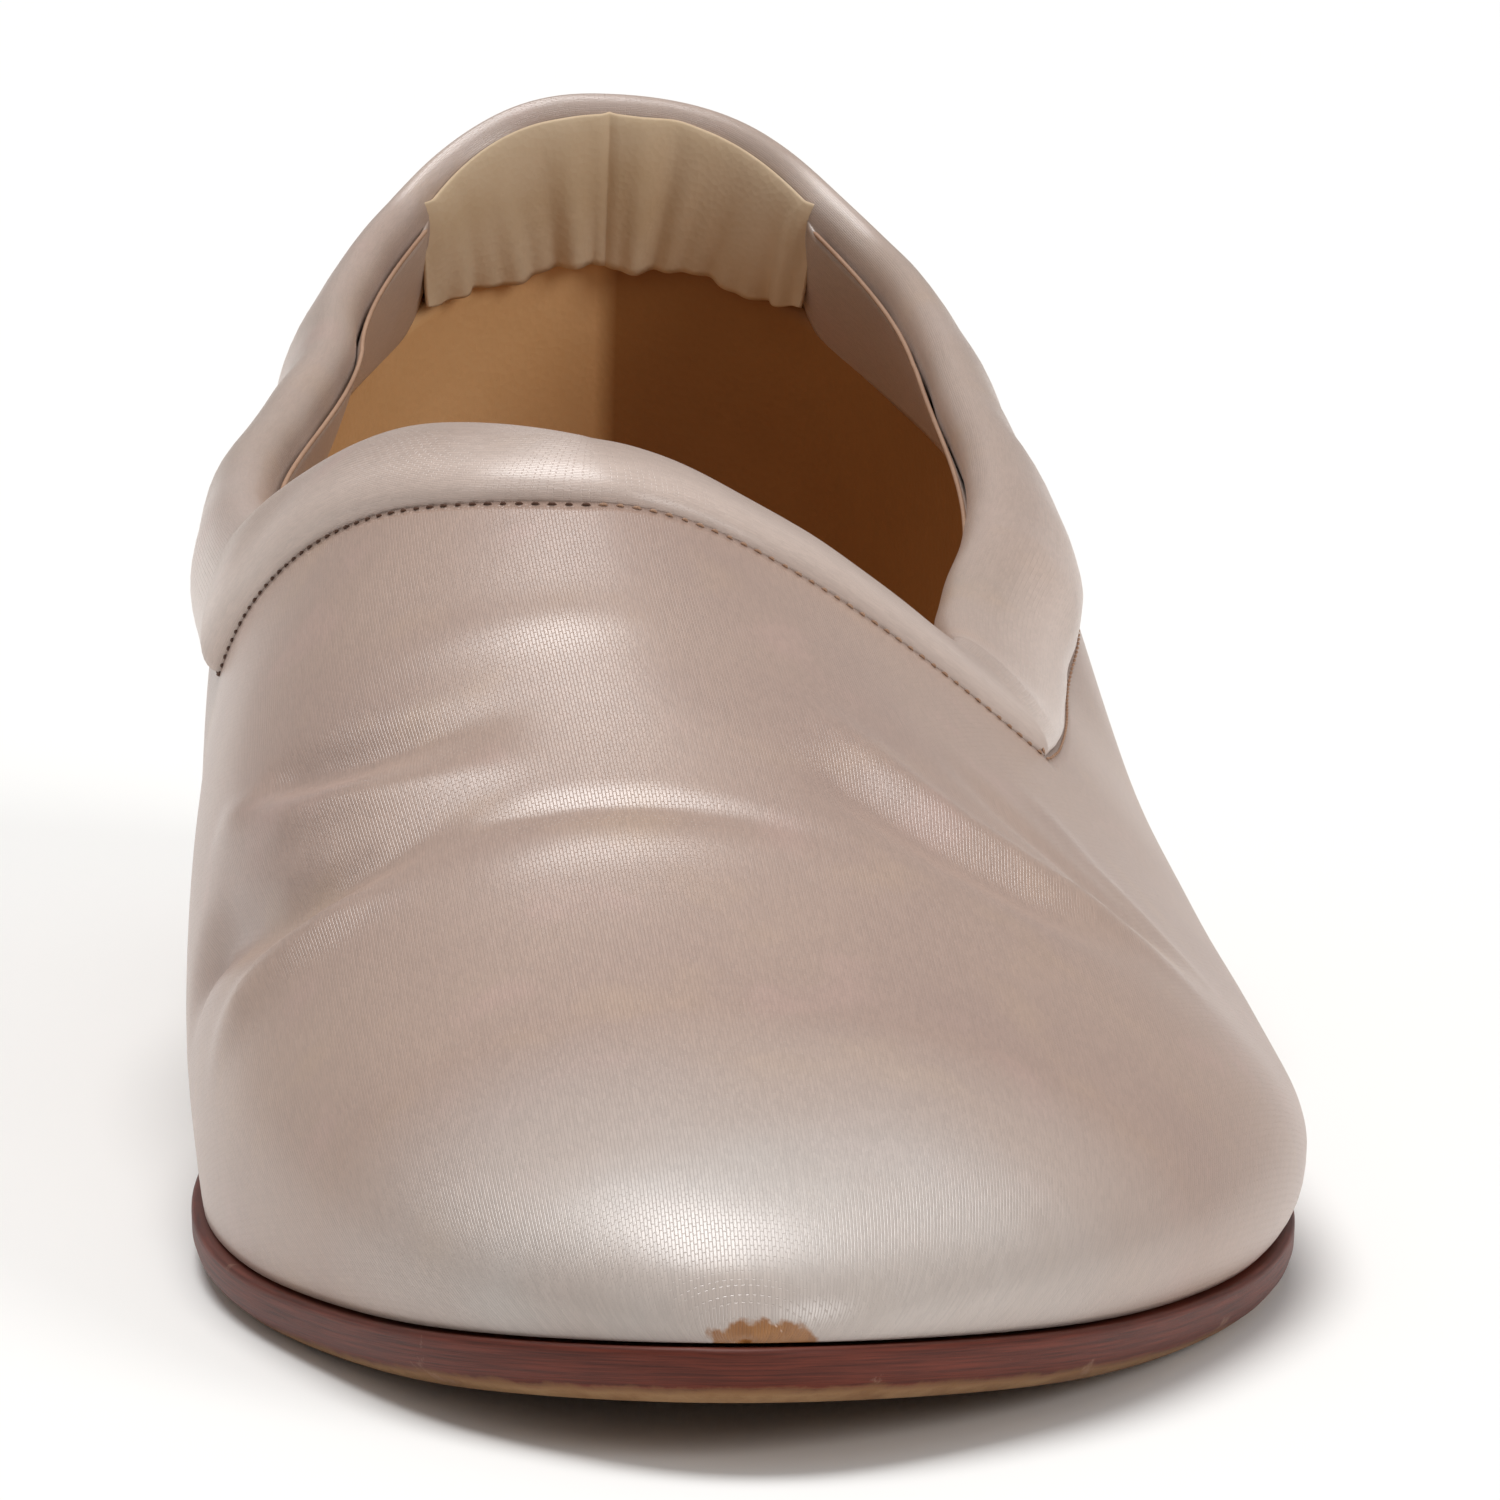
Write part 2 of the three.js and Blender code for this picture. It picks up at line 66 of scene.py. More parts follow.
# back, bulge past the feather line, height of the widest line, fullness of the shoulder, crown
walls = {
    1: np.array([
        [0, 0, 0, 0.55, 0.55], [8, 0.6, 2.0, 0.55, 0.55], [20, 1.4, 3.6, 0.52, 0.55],
        [40, 2.0, 4.4, 0.44, 0.54], [62, 1.9, 5.0, 0.32, 0.49], [85, 1.7, 6.2, 0.1, 0.38],
        [110, 2.2, 9.0, 0.02, 0.27], [140, 3.9, 13.4, 0.02, 0.24], [157, 4.9, 15.2, 0.05, 0.28],
        [175, 5.7, 16.2, 0.25, 0.4], [210, 3.9, 15.6, 0.52, 0.45], [255, 2.6, 15.8, 0.5, 0.39]]),
    -1: np.array([
        [0, 0, 0, 0.55, 0.55], [8, 0.5, 2.0, 0.55, 0.55], [20, 0.9, 3.6, 0.55, 0.55],
        [40, 1.0, 5.0, 0.59, 0.53], [62, 0.5, 5.8, 0.62, 0.49], [85, 0.8, 8.0, 0.66, 0.46],
        [110, 3.2, 11.4, 0.7, 0.42], [140, 6.4, 14.0, 0.68, 0.42], [175, 6.0, 15.6, 0.66, 0.52],
        [210, 3.6, 15.0, 0.46, 0.42], [255, 2.6, 15.8, 0.5, 0.39]]),
}
# back, seam height outer and inner, puff of the band and its lean, each outer and inner
quarters = np.array([
    [124, 31.0, 36.2, 1.5, 2.4, 5, 4], [142, 32.0, 36.4, 1.9, 2.6, 20, 4], [160, 33.7, 36.8, 2.6, 2.8, 27, 6],
    [190, 38.4, 39.8, 2.8, 2.8, 20, 9], [210, 43.3, 44.2, 2.2, 2.2, 14, 9], [235, 51.9, 52.1, 1.6, 1.6, 5, 5],
    [255, 58.4, 58.4, 1.2, 1.2, 2, 2]])


# 0 to 1 as a cubic that is level at both ends
def smoothStep(t):
    t = np.clip(t, 0, 1)
    return t * t * (3 - 2 * t)


# Value at any back of one column of a table: cubic pieces that share slope and curvature, against the
# root of back (or plain back), free at the first row and level at the last.
def curveThrough(rows, column, byRoot=True):
    at = np.sqrt(rows[:, 0]) if byRoot else rows[:, 0].astype(float)
    value, count, step = rows[:, column], len(at), np.diff(at)
    rise = np.diff(value) / step
    system, right = np.zeros((count, count)), np.zeros(count)
    system[0, :2], right[0] = (2, 1), 3 * rise[0]
    for i in range(1, count - 1):
        system[i, i - 1:i + 2] = step[i], 2 * (step[i - 1] + step[i]), step[i - 1]
        right[i] = 3 * (step[i] * rise[i - 1] + step[i - 1] * rise[i])
    system[-1, -1] = 1
    slope = np.linalg.solve(system, right)

    def curve(back):
        x = np.clip(np.sqrt(np.maximum(back, 0)) if byRoot else back, at[0], at[-1])
        i = np.clip(np.searchsorted(at, x, side="right") - 1, 0, count - 2)
        t = (x - at[i]) / step[i]
        start = value[i] * (1 + 2 * t) + step[i] * slope[i] * t
        end = value[i + 1] * (3 - 2 * t) - step[i] * slope[i + 1] * (1 - t)
        return start * (1 - t) ** 2 + end * t ** 2
    return curve


outline = {1: curveThrough(footprint, 1), -1: curveThrough(footprint, 2)}
crestLine = curveThrough(footprint, 3)
crestRise = curveThrough(profile, 1)
wallCurves = {side: [curveThrough(walls[side], c) for c in range(1, 5)] for side in (1, -1)}
seamHeight = {1: curveThrough(quarters, 1, False), -1: curveThrough(quarters, 2, False)}
puffAlong = {1: curveThrough(quarters, 3, False), -1: curveThrough(quarters, 4, False)}
leanAlong = {1: curveThrough(quarters, 5, False), -1: curveThrough(quarters, 6, False)}


# Top face of the sole: a power curve down from the toe, a flat spot, then a smooth step up to the heel
def soleTop(back):
    toe = np.clip((last["flatFront"] - back) / last["flatFront"], 0, None) ** last["toeSpringPower"]
    arch = (back - last["flatBack"]) / (last["heelLevelFrom"] - last["flatBack"])
    return last["soleThickness"] + last["toeSpring"] * toe + last["heelRise"] * smoothStep(arch)


# A section's centre, direction and reach: square to the length ahead of the heel's centre, then a fan
# whose ends lie on a superellipse
def sectionFrame(back, side):
    at = np.minimum(back, heelCentre)
    crest = crestLine(at)
    halfWidth = side * (outline[side](at) - crest)
    turn = np.clip((back - heelCentre) / last["heelRadius"], 0, 1) * math.pi / 2
    across = halfWidth * np.abs(np.cos(turn)) ** (2 / last["heelSquareness"])
    along = last["heelRadius"] * np.sin(turn) ** (2 / last["heelSquareness"])
    reach = np.hypot(across, along)
    safe = np.maximum(reach, 1e-9)
    dx = np.where(turn > 0, across / safe, 1.0) * side
    dy = np.where(turn > 0, along / safe, 0.0)
    return crest, at, dx, dy, reach


# A point of the upper's outer face: a bowed tuck from the feather line to the widest line, then a
# cubic curve that starts upright and ends level on the crest
def lastPoint(back, side, turn):
    back, turn = np.broadcast_arrays(np.asarray(back, float), np.asarray(turn, float))
    crest, at, dx, dy, reach = sectionFrame(back, side)
    bulge, low, full, crown = (curve(back) for curve in wallCurves[side])
    wide, high = reach + bulge, crestRise(back)
    t = np.clip(turn + 1, 0, 1)
    tuckRadius = reach * (1 - t) ** 2 + wide * (2 * t * (1 - t) + t * t)
    tuckHeight = low * (0.7 * t * (1 - t) + t * t)
    t = np.clip(turn, 0, 1)
    first, second = 3 * (1 - t) ** 2 * t, 3 * (1 - t) * t * t
    radius = np.where(turn < 0, tuckRadius, wide * ((1 - t) ** 3 + first + second * crown))
    height = np.where(turn < 0, tuckHeight, low + (high - low) * (first * full + second + t ** 3))
    z = soleTop(at + dy * reach) + last["gap"] + height
    return np.stack([crest + dx * radius, at + dy * radius, z], -1)


# Distance travelled along a line of points
def travelledAlong(line):
    return np.concatenate([[0], np.cumsum(np.linalg.norm(np.diff(line, axis=0), axis=1))])


# Vectors of length 1
def unit(v):
    return v / np.maximum(np.linalg.norm(v, axis=-1, keepdims=True), 1e-12)


# Outward direction: the cross product of small steps up and along the face, laid level at the feather
def sideNormal(back, side, turn):
    root = np.sqrt(np.maximum(back, 1e-4))
    ahead = lastPoint(np.minimum(root + 0.01, math.sqrt(last["length"])) ** 2, side, turn)
    along = ahead - lastPoint(np.maximum(root - 0.01, 0) ** 2, side, turn)
    upward = lastPoint(back, side, np.minimum(turn + 0.002, 1))
    upward = upward - lastPoint(back, side, np.maximum(turn - 0.002, -1))
    normal = np.cross(upward, along) * -side
    normal[..., 2] *= smoothStep(turn + 1)
    normal = unit(normal)
    normal[back <= 0] = (0, -1, 0)
    return normal


# The two sides share the mean of their directions where they meet, on the crest and behind the heel
def lastNormal(back, side, turn):
    back, turn = np.broadcast_arrays(np.asarray(back, float), np.asarray(turn, float))
    normal = sideNormal(back, side, turn)
    shared = (turn > 1 - 1e-9) | (back > last["length"] - 1e-9)
    return np.where(shared[..., None], unit(normal + sideNormal(back, -side, turn)), normal)


# The turn at which a section reaches a height, by halving
def turnAt(back, side, height):
    low, high = np.zeros(np.shape(back)), np.ones(np.shape(back))
    for _ in range(26):
        middle = (low + high) / 2
        under = lastPoint(back, side, middle)[..., 2] < height
        low, high = np.where(under, middle, low), np.where(under, high, middle)
    return (low + high) / 2


cornerTurn = {
    side: float(turnAt(last["cornerBack"][side], side, last["cornerHeight"][side])) for side in (1, -1)}


# The throat seam: share is 0 at the V and 1 on the crest; back runs forward by a power of the rest
def throatSeam(side, share):
    run = last["cornerBack"][side] - last["throatFront"]
    back = last["throatFront"] + run * (1 - share) ** last["throatCurl"]
    return back, cornerTurn[side] + (1 - cornerTurn[side]) * share


# The quarter seam: the table's height, eased into the corner's own by the square of what is left
def quarterSeam(side, share):
    start = last["cornerBack"][side]
    back = start + (last["length"] - start) * share
    ease = np.clip(1 - (back - start) / last["cornerEase"], 0, 1) ** 2
    height = seamHeight[side](back) + (last["cornerHeight"][side] - seamHeight[side](start)) * ease
    return back, turnAt(back, side, height)


# Sole's edge: how far the ledge stands out, and how far the edge is pared back at the toe and the heel
soleEdge = {"ledge": 0.9, "undercut": 2.4, "heelUndercut": 0.5, "fadeFrom": 150.0, "fadeTo": 200.0}


# A point of the sole's outline, moved outwards by grow square to itself
def edgePoint(back, side, grow):
    back, grow = np.broadcast_arrays(np.asarray(back, float), np.asarray(grow, float))

    def onOutline(at):
        crest, y, dx, dy, reach = sectionFrame(at, side)
        return np.stack([crest + dx * reach, y + dy * reach], -1)
    root = np.sqrt(back)
    end = math.sqrt(last["length"])
    run = unit(onOutline(np.minimum(root + 0.01, end) ** 2) - onOutline(np.maximum(root - 0.01, 0) ** 2))
    out = np.stack([run[..., 1], -run[..., 0]], -1) * side
    out[back <= 0] = (0, -1)
    out[back >= last["length"]] = (0, 1)
    return onOutline(back) + out * grow[..., None]


# The shoe's own frame is put in the model's frame by lining up the edges of the outsole
edgeRun = np.linspace(0, math.sqrt(last["length"]), 4000) ** 2
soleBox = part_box("outsole")
place = np.array([
    soleBox[1][0] * 1000 - edgePoint(edgeRun, 1, soleEdge["ledge"])[:, 0].max(),
    soleBox[1][1] * 1000 - last["length"] - soleEdge["ledge"],
    0.0])
print("placed by", np.round(place, 2))


# A mesh from patches of points [row, column, xyz] in millimetres, each with uv [row, column, 2], of which
# 100 mm is one unit. Points that meet are merged, so patches that share an edge join up and poles close.
def meshFrom(name, patches):
    faces, start = [], 0
    for patch in patches:
        rows, columns = patch["grid"].shape[:2]
        index = np.arange(rows * columns).reshape(rows, columns) + start
        quads = np.stack([index[:-1, :-1], index[1:, :-1], index[1:, 1:], index[:-1, 1:]], -1).reshape(-1, 4)
        faces.append(quads[:, ::-1] if patch.get("flip", False) else quads)
        start += rows * columns
    points = np.concatenate([patch["grid"].reshape(-1, 3) for patch in patches])
    uvs = np.concatenate([patch["uv"].reshape(-1, 2) for patch in patches])
    faces = np.concatenate(faces)
    mesh = bpy.data.meshes.new(name)
    mesh.vertices.add(len(points))
    mesh.vertices.foreach_set("co", ((points + place) / 1000).astype(np.float32).ravel())
    mesh.loops.add(faces.size)
    mesh.loops.foreach_set("vertex_index", faces.astype(np.int32).ravel())
    mesh.polygons.add(len(faces))
    mesh.polygons.foreach_set("loop_start", np.arange(0, faces.size, 4, dtype=np.int32))
    mesh.polygons.foreach_set("use_smooth", np.full(len(faces), True))
    mesh.uv_layers.new(name="threads")
    mesh.update(calc_edges=True)
    mesh.uv_layers["threads"].data.foreach_set("uv", (uvs[faces.ravel()] / 100).astype(np.float32).ravel())
    merged = bmesh.new()
    merged.from_mesh(mesh)
    bmesh.ops.remove_doubles(merged, verts=merged.verts, dist=2e-6)
    merged.to_mesh(mesh)
    merged.free()
    mesh.validate()
    piece = bpy.data.objects.new(name, mesh)
    bpy.context.scene.collection.objects.link(piece)
    return piece


# Gives a sheet its thickness in millimetres: inwards at offset -1, outwards at 1
def thicken(piece, thickness, offset=-1.0):
    solidify = piece.modifiers.new("thickness", "SOLIDIFY")
    solidify.thickness = thickness / 1000
    solidify.offset = offset
    solidify.use_even_offset = False
    return piece


# Material, body and the CAD nodes that the piece stands for; the slot is not used
def finishPiece(piece, material, slot, *nodes):
    piece.data.materials.append(material)
    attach(piece, "root")
    if nodes:
        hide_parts(*nodes)
    return piece


# The cloth's own across and along in millimetres: arc length down a section from its crest, and the
# distance back, which behind 150 mm is the length run along the widest line
widestRun = np.linspace(150, last["length"], 400)
widestLength = {side: widestRun[0] + travelledAlong(lastPoint(widestRun, side, 0.0)) for side in (1, -1)}


def clothUv(back, side, turn):
    back, turn = np.broadcast_arrays(np.asarray(back, float), np.asarray(turn, float))
    share = np.linspace(0, 1, 15).reshape((-1,) + (1,) * back.ndim)
    line = lastPoint(back[None], side, 1 - (1 - turn[None]) * share)
    across = np.linalg.norm(np.diff(line, axis=0), axis=-1).sum(0) * side
    along = np.where(back < widestRun[0], back, np.interp(back, widestRun, widestLength[side]))
    return np.stack([across, along], -1)


# Creases
# Soft folds in the vamp, in the last's own frame: the points they run through (x, back, z), height
# (a trough is negative), half width, and the shares over which they fade in and out, all in mm
creases = [
    ([(2.0, 84.0, 42.3), (8.4, 80.0, 39.9), (12.4, 75.7, 36.9), (16.5, 73.2, 34.1), (21.4, 72.3, 31.1),
      (28.0, 72.9, 27.0), (36.0, 76.0, 20.0)], 0.9, 2.6, 0.35, 0.35),
    ([(4.0, 76.0, 39.5), (9.0, 70.0, 37.0), (15.0, 66.5, 33.6), (22.0, 65.5, 29.6), (30.0, 67.0, 24.5)],
     -0.9, 3.2, 0.25, 0.35),
    ([(-23.2, 64.1, 33.2), (-19.5, 64.9, 35.1), (-14.7, 64.4, 36.3), (-7.4, 63.6, 36.9), (-1.4, 62.8, 36.3),
      (4.6, 61.8, 34.9), (10.0, 61.0, 32.5)], -0.32, 1.5, 0.15, 0.5),
    ([(-22.0, 60.5, 31.5), (-13.0, 60.2, 34.8), (-5.0, 59.6, 35.2), (3.0, 58.4, 34.0)], 0.12, 2.4, 0.3, 0.4),
    ([(-35.0, 92.0, 33.0), (-32.0, 86.6, 35.5), (-27.9, 81.8, 37.6), (-23.6, 79.3, 39.4), (-20.0, 78.1, 40.6),
      (-14.0, 76.6, 41.8)], -1.1, 2.4, 0.2, 0.55),
    ([(-37.9, 100.8, 29.0), (-32.2, 81.4, 33.2), (-26.3, 75.1, 35.9), (-20.3, 72.4, 38.0),
      (-13.0, 70.8, 39.2)], 1.2, 2.4, 0.25, 0.55),
    ([(-39.0, 95.0, 16.0), (-38.6, 86.0, 23.2), (-35.1, 74.6, 26.8), (-31.6, 69.8, 29.4), (-27.4, 67.5, 32.1),
      (-21.0, 67.4, 35.6), (-14.0, 67.0, 37.6)], -2.0, 3.1, 0.2, 0.5),
    ([(-38.0, 74.0, 14.0), (-36.6, 68.5, 21.7), (-33.0, 66.0, 26.3), (-28.1, 64.3, 30.2),
      (-22.1, 61.5, 32.9)], 0.85, 2.8, 0.35, 0.4),
    ([(-30.0, 96.0, 38.6), (-22.0, 90.5, 43.6), (-12.0, 88.0, 46.2), (-2.0, 87.5, 45.4)],
     0.22, 2.8, 0.4, 0.4),
    ([(16.0, 90.0, 38.0), (22.0, 84.0, 33.5), (28.0, 81.0, 28.5), (35.0, 82.0, 21.0)], -0.7, 2.6, 0.3, 0.4),
    ([(24.0, 101.0, 35.5), (29.0, 92.0, 30.5), (34.0, 88.0, 24.5), (38.0, 90.0, 18.0)], 0.75, 2.8, 0.3, 0.4),
]


# Distance from points to a run of straight pieces, and the share of the run at the nearest place
def distanceToRun(points, run):
    run = np.asarray(run, float)
    travelled = travelledAlong(run)
    lengths = np.diff(travelled)
    best, share = np.full(points.shape[:-1], 1e9), np.zeros(points.shape[:-1])
    for i, (a, b) in enumerate(zip(run[:-1], run[1:])):
        t = np.clip(((points - a) @ (b - a)) / lengths[i] ** 2, 0, 1)
        away = np.linalg.norm(points - (a + t[..., None] * (b - a)), axis=-1)
        nearer = away < best
        best = np.where(nearer, away, best)
        share = np.where(nearer, (travelled[i] + t * lengths[i]) / travelled[-1], share)
    return best, share


# Sum of the folds: each is a bell across its run, faded in and out along it, plus a ripple 0.07 mm high
# that starts behind the toe
def creaseHeight(points):
    height = np.zeros(points.shape[:-1])
    for run, rise, halfWidth, fadeIn, fadeOut in creases:
        away, share = distanceToRun(points, run)
        ends = smoothStep(share / fadeIn) * smoothStep((1 - share) / fadeOut)
        height += rise * np.exp(-(away / halfWidth) ** 2) * ends
    x, y = points[..., 0], points[..., 1]
    ripple = np.sin(x / 5.3 + 1.7 * np.sin(y / 13.0)) * np.sin(y / 7.1 + 0.9 * np.sin(x / 9.0))
    return height + 0.07 * ripple * smoothStep((y - 40) / 40)


# The upper's skin at a depth below its outer face, with its folds
def skin(back, side, turn, depth, folded=True):
    point = lastPoint(back, side, turn)
    normal = lastNormal(back, side, turn)
    out = -np.asarray(depth, float)
    if folded:
        out = out + creaseHeight(point)
    return point + normal * np.broadcast_to(out, point.shape[:-1])[..., None]


# Upper
upperMesh = {"toeRows": 150, "rowPower": 1.7, "tuckColumns": 6, "wallColumns": 20, "throatColumns": 50,
             "quarterColumns": 110, "satin": 0.85, "liningFrom": 0.95, "lining": 0.8}


# Where the vamp's columns end, from the feather line up to the V and along the throat to the crest
def vampColumns(side, mesh):
    turn, back = cornerTurn[side], last["cornerBack"][side]
    low = np.concatenate([
        np.linspace(-1, 0, mesh["tuckColumns"] + 1)[:-1],
        turn * np.linspace(0, 1, mesh["wallColumns"] + 1)])
    seamBack, seamTurn = throatSeam(side, np.linspace(0, 1, mesh["throatColumns"] + 1)[1:])
    return np.concatenate([np.full(len(low), back), seamBack]), np.concatenate([low, seamTurn])


# Half the vamp: rows run from the toe tip to the throat as a power of the row's share
def vampHalf(side, mesh, depth):
    backs, turns = vampColumns(side, mesh)
    rows = np.linspace(0, 1, mesh["toeRows"] + 1)[:, None] ** mesh["rowPower"]
    back, turn = rows * backs, np.broadcast_to(turns, (len(rows), len(turns)))
    return {"grid": skin(back, side, turn, depth), "uv": clothUv(back, side, turn), "flip": side < 0}


# Half the quarters: rows run back from the V, columns from the feather line up to the seam
def quarterHalf(side, mesh, depth):
    back, seamTurn = quarterSeam(side, np.linspace(0, 1, mesh["quarterColumns"] + 1))
    tuck = np.linspace(-1, 0, mesh["tuckColumns"] + 1)[:-1]
    tuck = np.broadcast_to(tuck, (len(back), len(tuck)))
    high = seamTurn[:, None] * np.linspace(0, 1, mesh["wallColumns"] + 1)
    turn = np.concatenate([tuck, high], 1)
    back = np.broadcast_to(back[:, None], turn.shape)
    deep = depth(back, side, turn) if callable(depth) else depth
    return {"grid": skin(back, side, turn, deep), "uv": clothUv(back, side, turn), "flip": side < 0}


# Both vamp halves and both quarter halves, at a depth below the outer face
def upperPatches(mesh, depth, quarterDepth=None):
    patches = []
    for side in (1, -1):
        patches.append(vampHalf(side, mesh, depth))
        patches.append(quarterHalf(side, mesh, quarterDepth or depth))
    return patches


# Band
band = {
    "height": 11.4, "rim": -0.1, "inside": 2.8, "heightPower": 0.8, "depthPower": 0.85, "around": 33,
    "throatPuff": 2.2, "throatLean": 13.0, "leanLift": 0.168, "mitreReach": 26.0,
    "throatSteps": 110, "quarterSteps": 190, "corners": 36, "footDrop": 3.2, "footDepth": 2.3,
    "evenPasses": 60, "evenReach": 18.0, "swells": (0.12, 0.07),
}


# A place on the wall's inner face some way below the seam: down the section on the quarters, forward
# on the crest
def footOf(back, side, turn, share):
    small = 0.01
    step = lastPoint(back, side, turn) - lastPoint(back, side, turn - small)
    perTurn = np.linalg.norm(step, axis=-1) / small
    quarterTurn = np.asarray(share) * math.pi / 2
    lower = turn - band["footDrop"] / perTurn * np.cos(quarterTurn)
    ahead = back - band["footDrop"] * np.sin(quarterTurn)
    return skin(ahead, side, lower, band["footDepth"], folded=False)


# Stations of half of the seam loop, from the crest down to the V and back to the heel: point, outward
# direction and the way up the band's face, which slants near the V so that both runs share one mitre
def bandStations(side):
    def run(backTurn):
        back, turn = backTurn
        point, normal = lastPoint(back, side, turn), lastNormal(back, side, turn)
        index = np.arange(len(back))
        along = point[np.minimum(index + 1, len(back) - 1)] - point[np.maximum(index - 1, 0)]
        along[-1] = (-side, 0, 0)
        along = unit(along - normal * (along * normal).sum(-1, keepdims=True))
        return {"back": back, "turn": turn, "point": point, "normal": normal, "along": along,
                "travelled": travelledAlong(point)}
    throat = run(throatSeam(side, np.linspace(0, 1, band["throatSteps"] + 1)))
    quarter = run(quarterSeam(side, np.linspace(0, 1, band["quarterSteps"] + 1)))
    cosine = float(throat["along"][0] @ quarter["along"][0])
    mitre = (1 + cosine) / math.sqrt(1 - cosine ** 2)
    # Up is square to the seam, turned to the table's lean and slanted into the mitre near the V
    for s in (throat, quarter):
        square = unit(np.cross(s["normal"], s["along"]))
        square *= np.where(square @ np.array([0, 0.6, 1.0]) < 0, -1.0, 1.0)[:, None]
        share = np.clip(s["travelled"] / throat["travelled"][-1], 0, 1) if s is throat else 0.0
        lean = leanAlong[side](s["back"])
        tilt = np.radians(lean + (band["throatLean"] - lean) * share)[:, None]
        s["square"] = square
        s["up"] = square * np.cos(tilt) - s["normal"] * np.sin(tilt)
        s["face"] = s["normal"] * np.cos(tilt) + square * np.sin(tilt)
        slant = mitre * np.clip(1 - s["travelled"] / band["mitreReach"], 0, 1) ** 2
        s["up"] = s["up"] + s["along"] * slant[:, None]
        s["flat"] = square + s["along"] * slant[:, None]
        puff = puffAlong[side](s["back"])
        s["puff"] = puff + (band["throatPuff"] - puff) * share
        s["lift"] = band["leanLift"] * last["wall"] * np.sin(tilt[:, 0])
        s["foot"] = footOf(s["back"], side, s["turn"], share)
    keys = ("back", "point", "normal", "along", "square", "flat", "up", "face", "puff", "lift", "foot")
    half = {key: np.concatenate([throat[key][::-1], quarter[key][1:]]) for key in keys}
    half["along"][:len(throat["back"])] *= -1
    return half


stations = {side: bandStations(side) for side in (1, -1)}
print("last and seam worked out")


# The loop's rings: a rounded section that reaches the inside depth one way and the puff the other,
# with slow swells along the band
def bandRings():
    angle = np.linspace(0, 2 * math.pi, band["corners"] + 1)
    c, s = np.cos(angle), np.sin(angle)
    halves = []
    for side in (1, -1):
        half = stations[side]
        middle, radius = (band["height"] + band["rim"]) / 2, (band["height"] - band["rim"]) / 2
        height = half["lift"][:, None] + middle + radius * np.sign(c) * np.abs(c) ** band["heightPower"]
        depth = np.where(s > 0, half["puff"][:, None], band["inside"]) * np.sign(s)
        depth = depth * np.abs(s) ** band["depthPower"]
        ring = half["point"][:, None] + half["up"][:, None] * height[..., None]
        ring = ring + half["face"][:, None] * depth[..., None]
        halves.append(ring if side > 0 else ring[::-1][1:])
    loop = np.concatenate(halves)
    # The two sides meet on the crest with different roundness, so the rings there are evened out
    even = loop[:-1]
    for _ in range(band["evenPasses"]):
        even = (np.roll(even, 1, 0) + 2 * even + np.roll(even, -1, 0)) / 4
    fromCrest = travelledAlong(loop.mean(1))[:-1]
    fromCrest = np.minimum(fromCrest, fromCrest[-1] - fromCrest)
    nearCrest = smoothStep(1 - fromCrest / band["evenReach"])[:, None, None]
    loop[:-1] += (even - loop[:-1]) * nearCrest
    loop[-1] = loop[0]
    middleLine = loop.mean(1)
    travelled = travelledAlong(middleLine)
    around = np.linspace(0, band["around"], band["corners"] + 1)
    uv = np.stack(np.broadcast_arrays(around[None, :], travelled[:, None]), -1)
    out = unit(loop - middleLine[:, None])
    # Whole numbers of swells, so that they meet where the loop closes
    way = travelled[:, None] / travelled[-1] * 2 * math.pi
    swells = np.sin(17 * way + 1.0) * np.cos(angle - 1.2) * band["swells"][0]
    swells = swells + np.sin(29 * way + 2.0 * np.sin(3 * way)) * np.cos(2 * angle) * band["swells"][1]
    return loop + out * swells[..., None], uv


# Colours and finishes
# An sRGB hex value as linear red, green, blue and alpha
def linear(hexColour):
    channels = [int(hexColour[i:i + 2], 16) / 255 for i in (1, 3, 5)]
    return tuple(c / 12.92 if c <= 0.04045 else ((c + 0.055) / 1.055) ** 2.4 for c in channels) + (1.0,)


# Adds a node with its settings. An input is a value, a socket, or a node whose first live output is used.
def addNode(tree, kind, inputs=(), **settings):
    node = tree.nodes.new("ShaderNode" + kind)
    for name, value in settings.items():
        setattr(node, name, value)
    for name, value in dict(inputs).items():
        if isinstance(value, bpy.types.Node):
            value = next(socket for socket in value.outputs if socket.enabled)
        if isinstance(value, bpy.types.NodeSocket):
            tree.links.new(value, node.inputs[name])
        else:
            node.inputs[name].default_value = value
    return node


# Colours laid over a ground in turn, each as (value, where it starts to cover, where it covers most, how
# much it covers there, colour)
def layered(tree, ground, layers):
    colour = linear(ground)
    for value, start, full, most, over in layers:
        over = linear(over) if isinstance(over, str) else over
        cover = addNode(tree, "MapRange", {0: value, 1: start, 2: full, 4: most})
        colour = addNode(tree, "Mix", {"Factor": cover, "A": colour, "B": over}, data_type="RGBA")
    return colour


def newMaterial(name):
    material = bpy.data.materials.new(name)
    material.use_nodes = True
    material.node_tree.nodes.clear()
    return material, material.node_tree
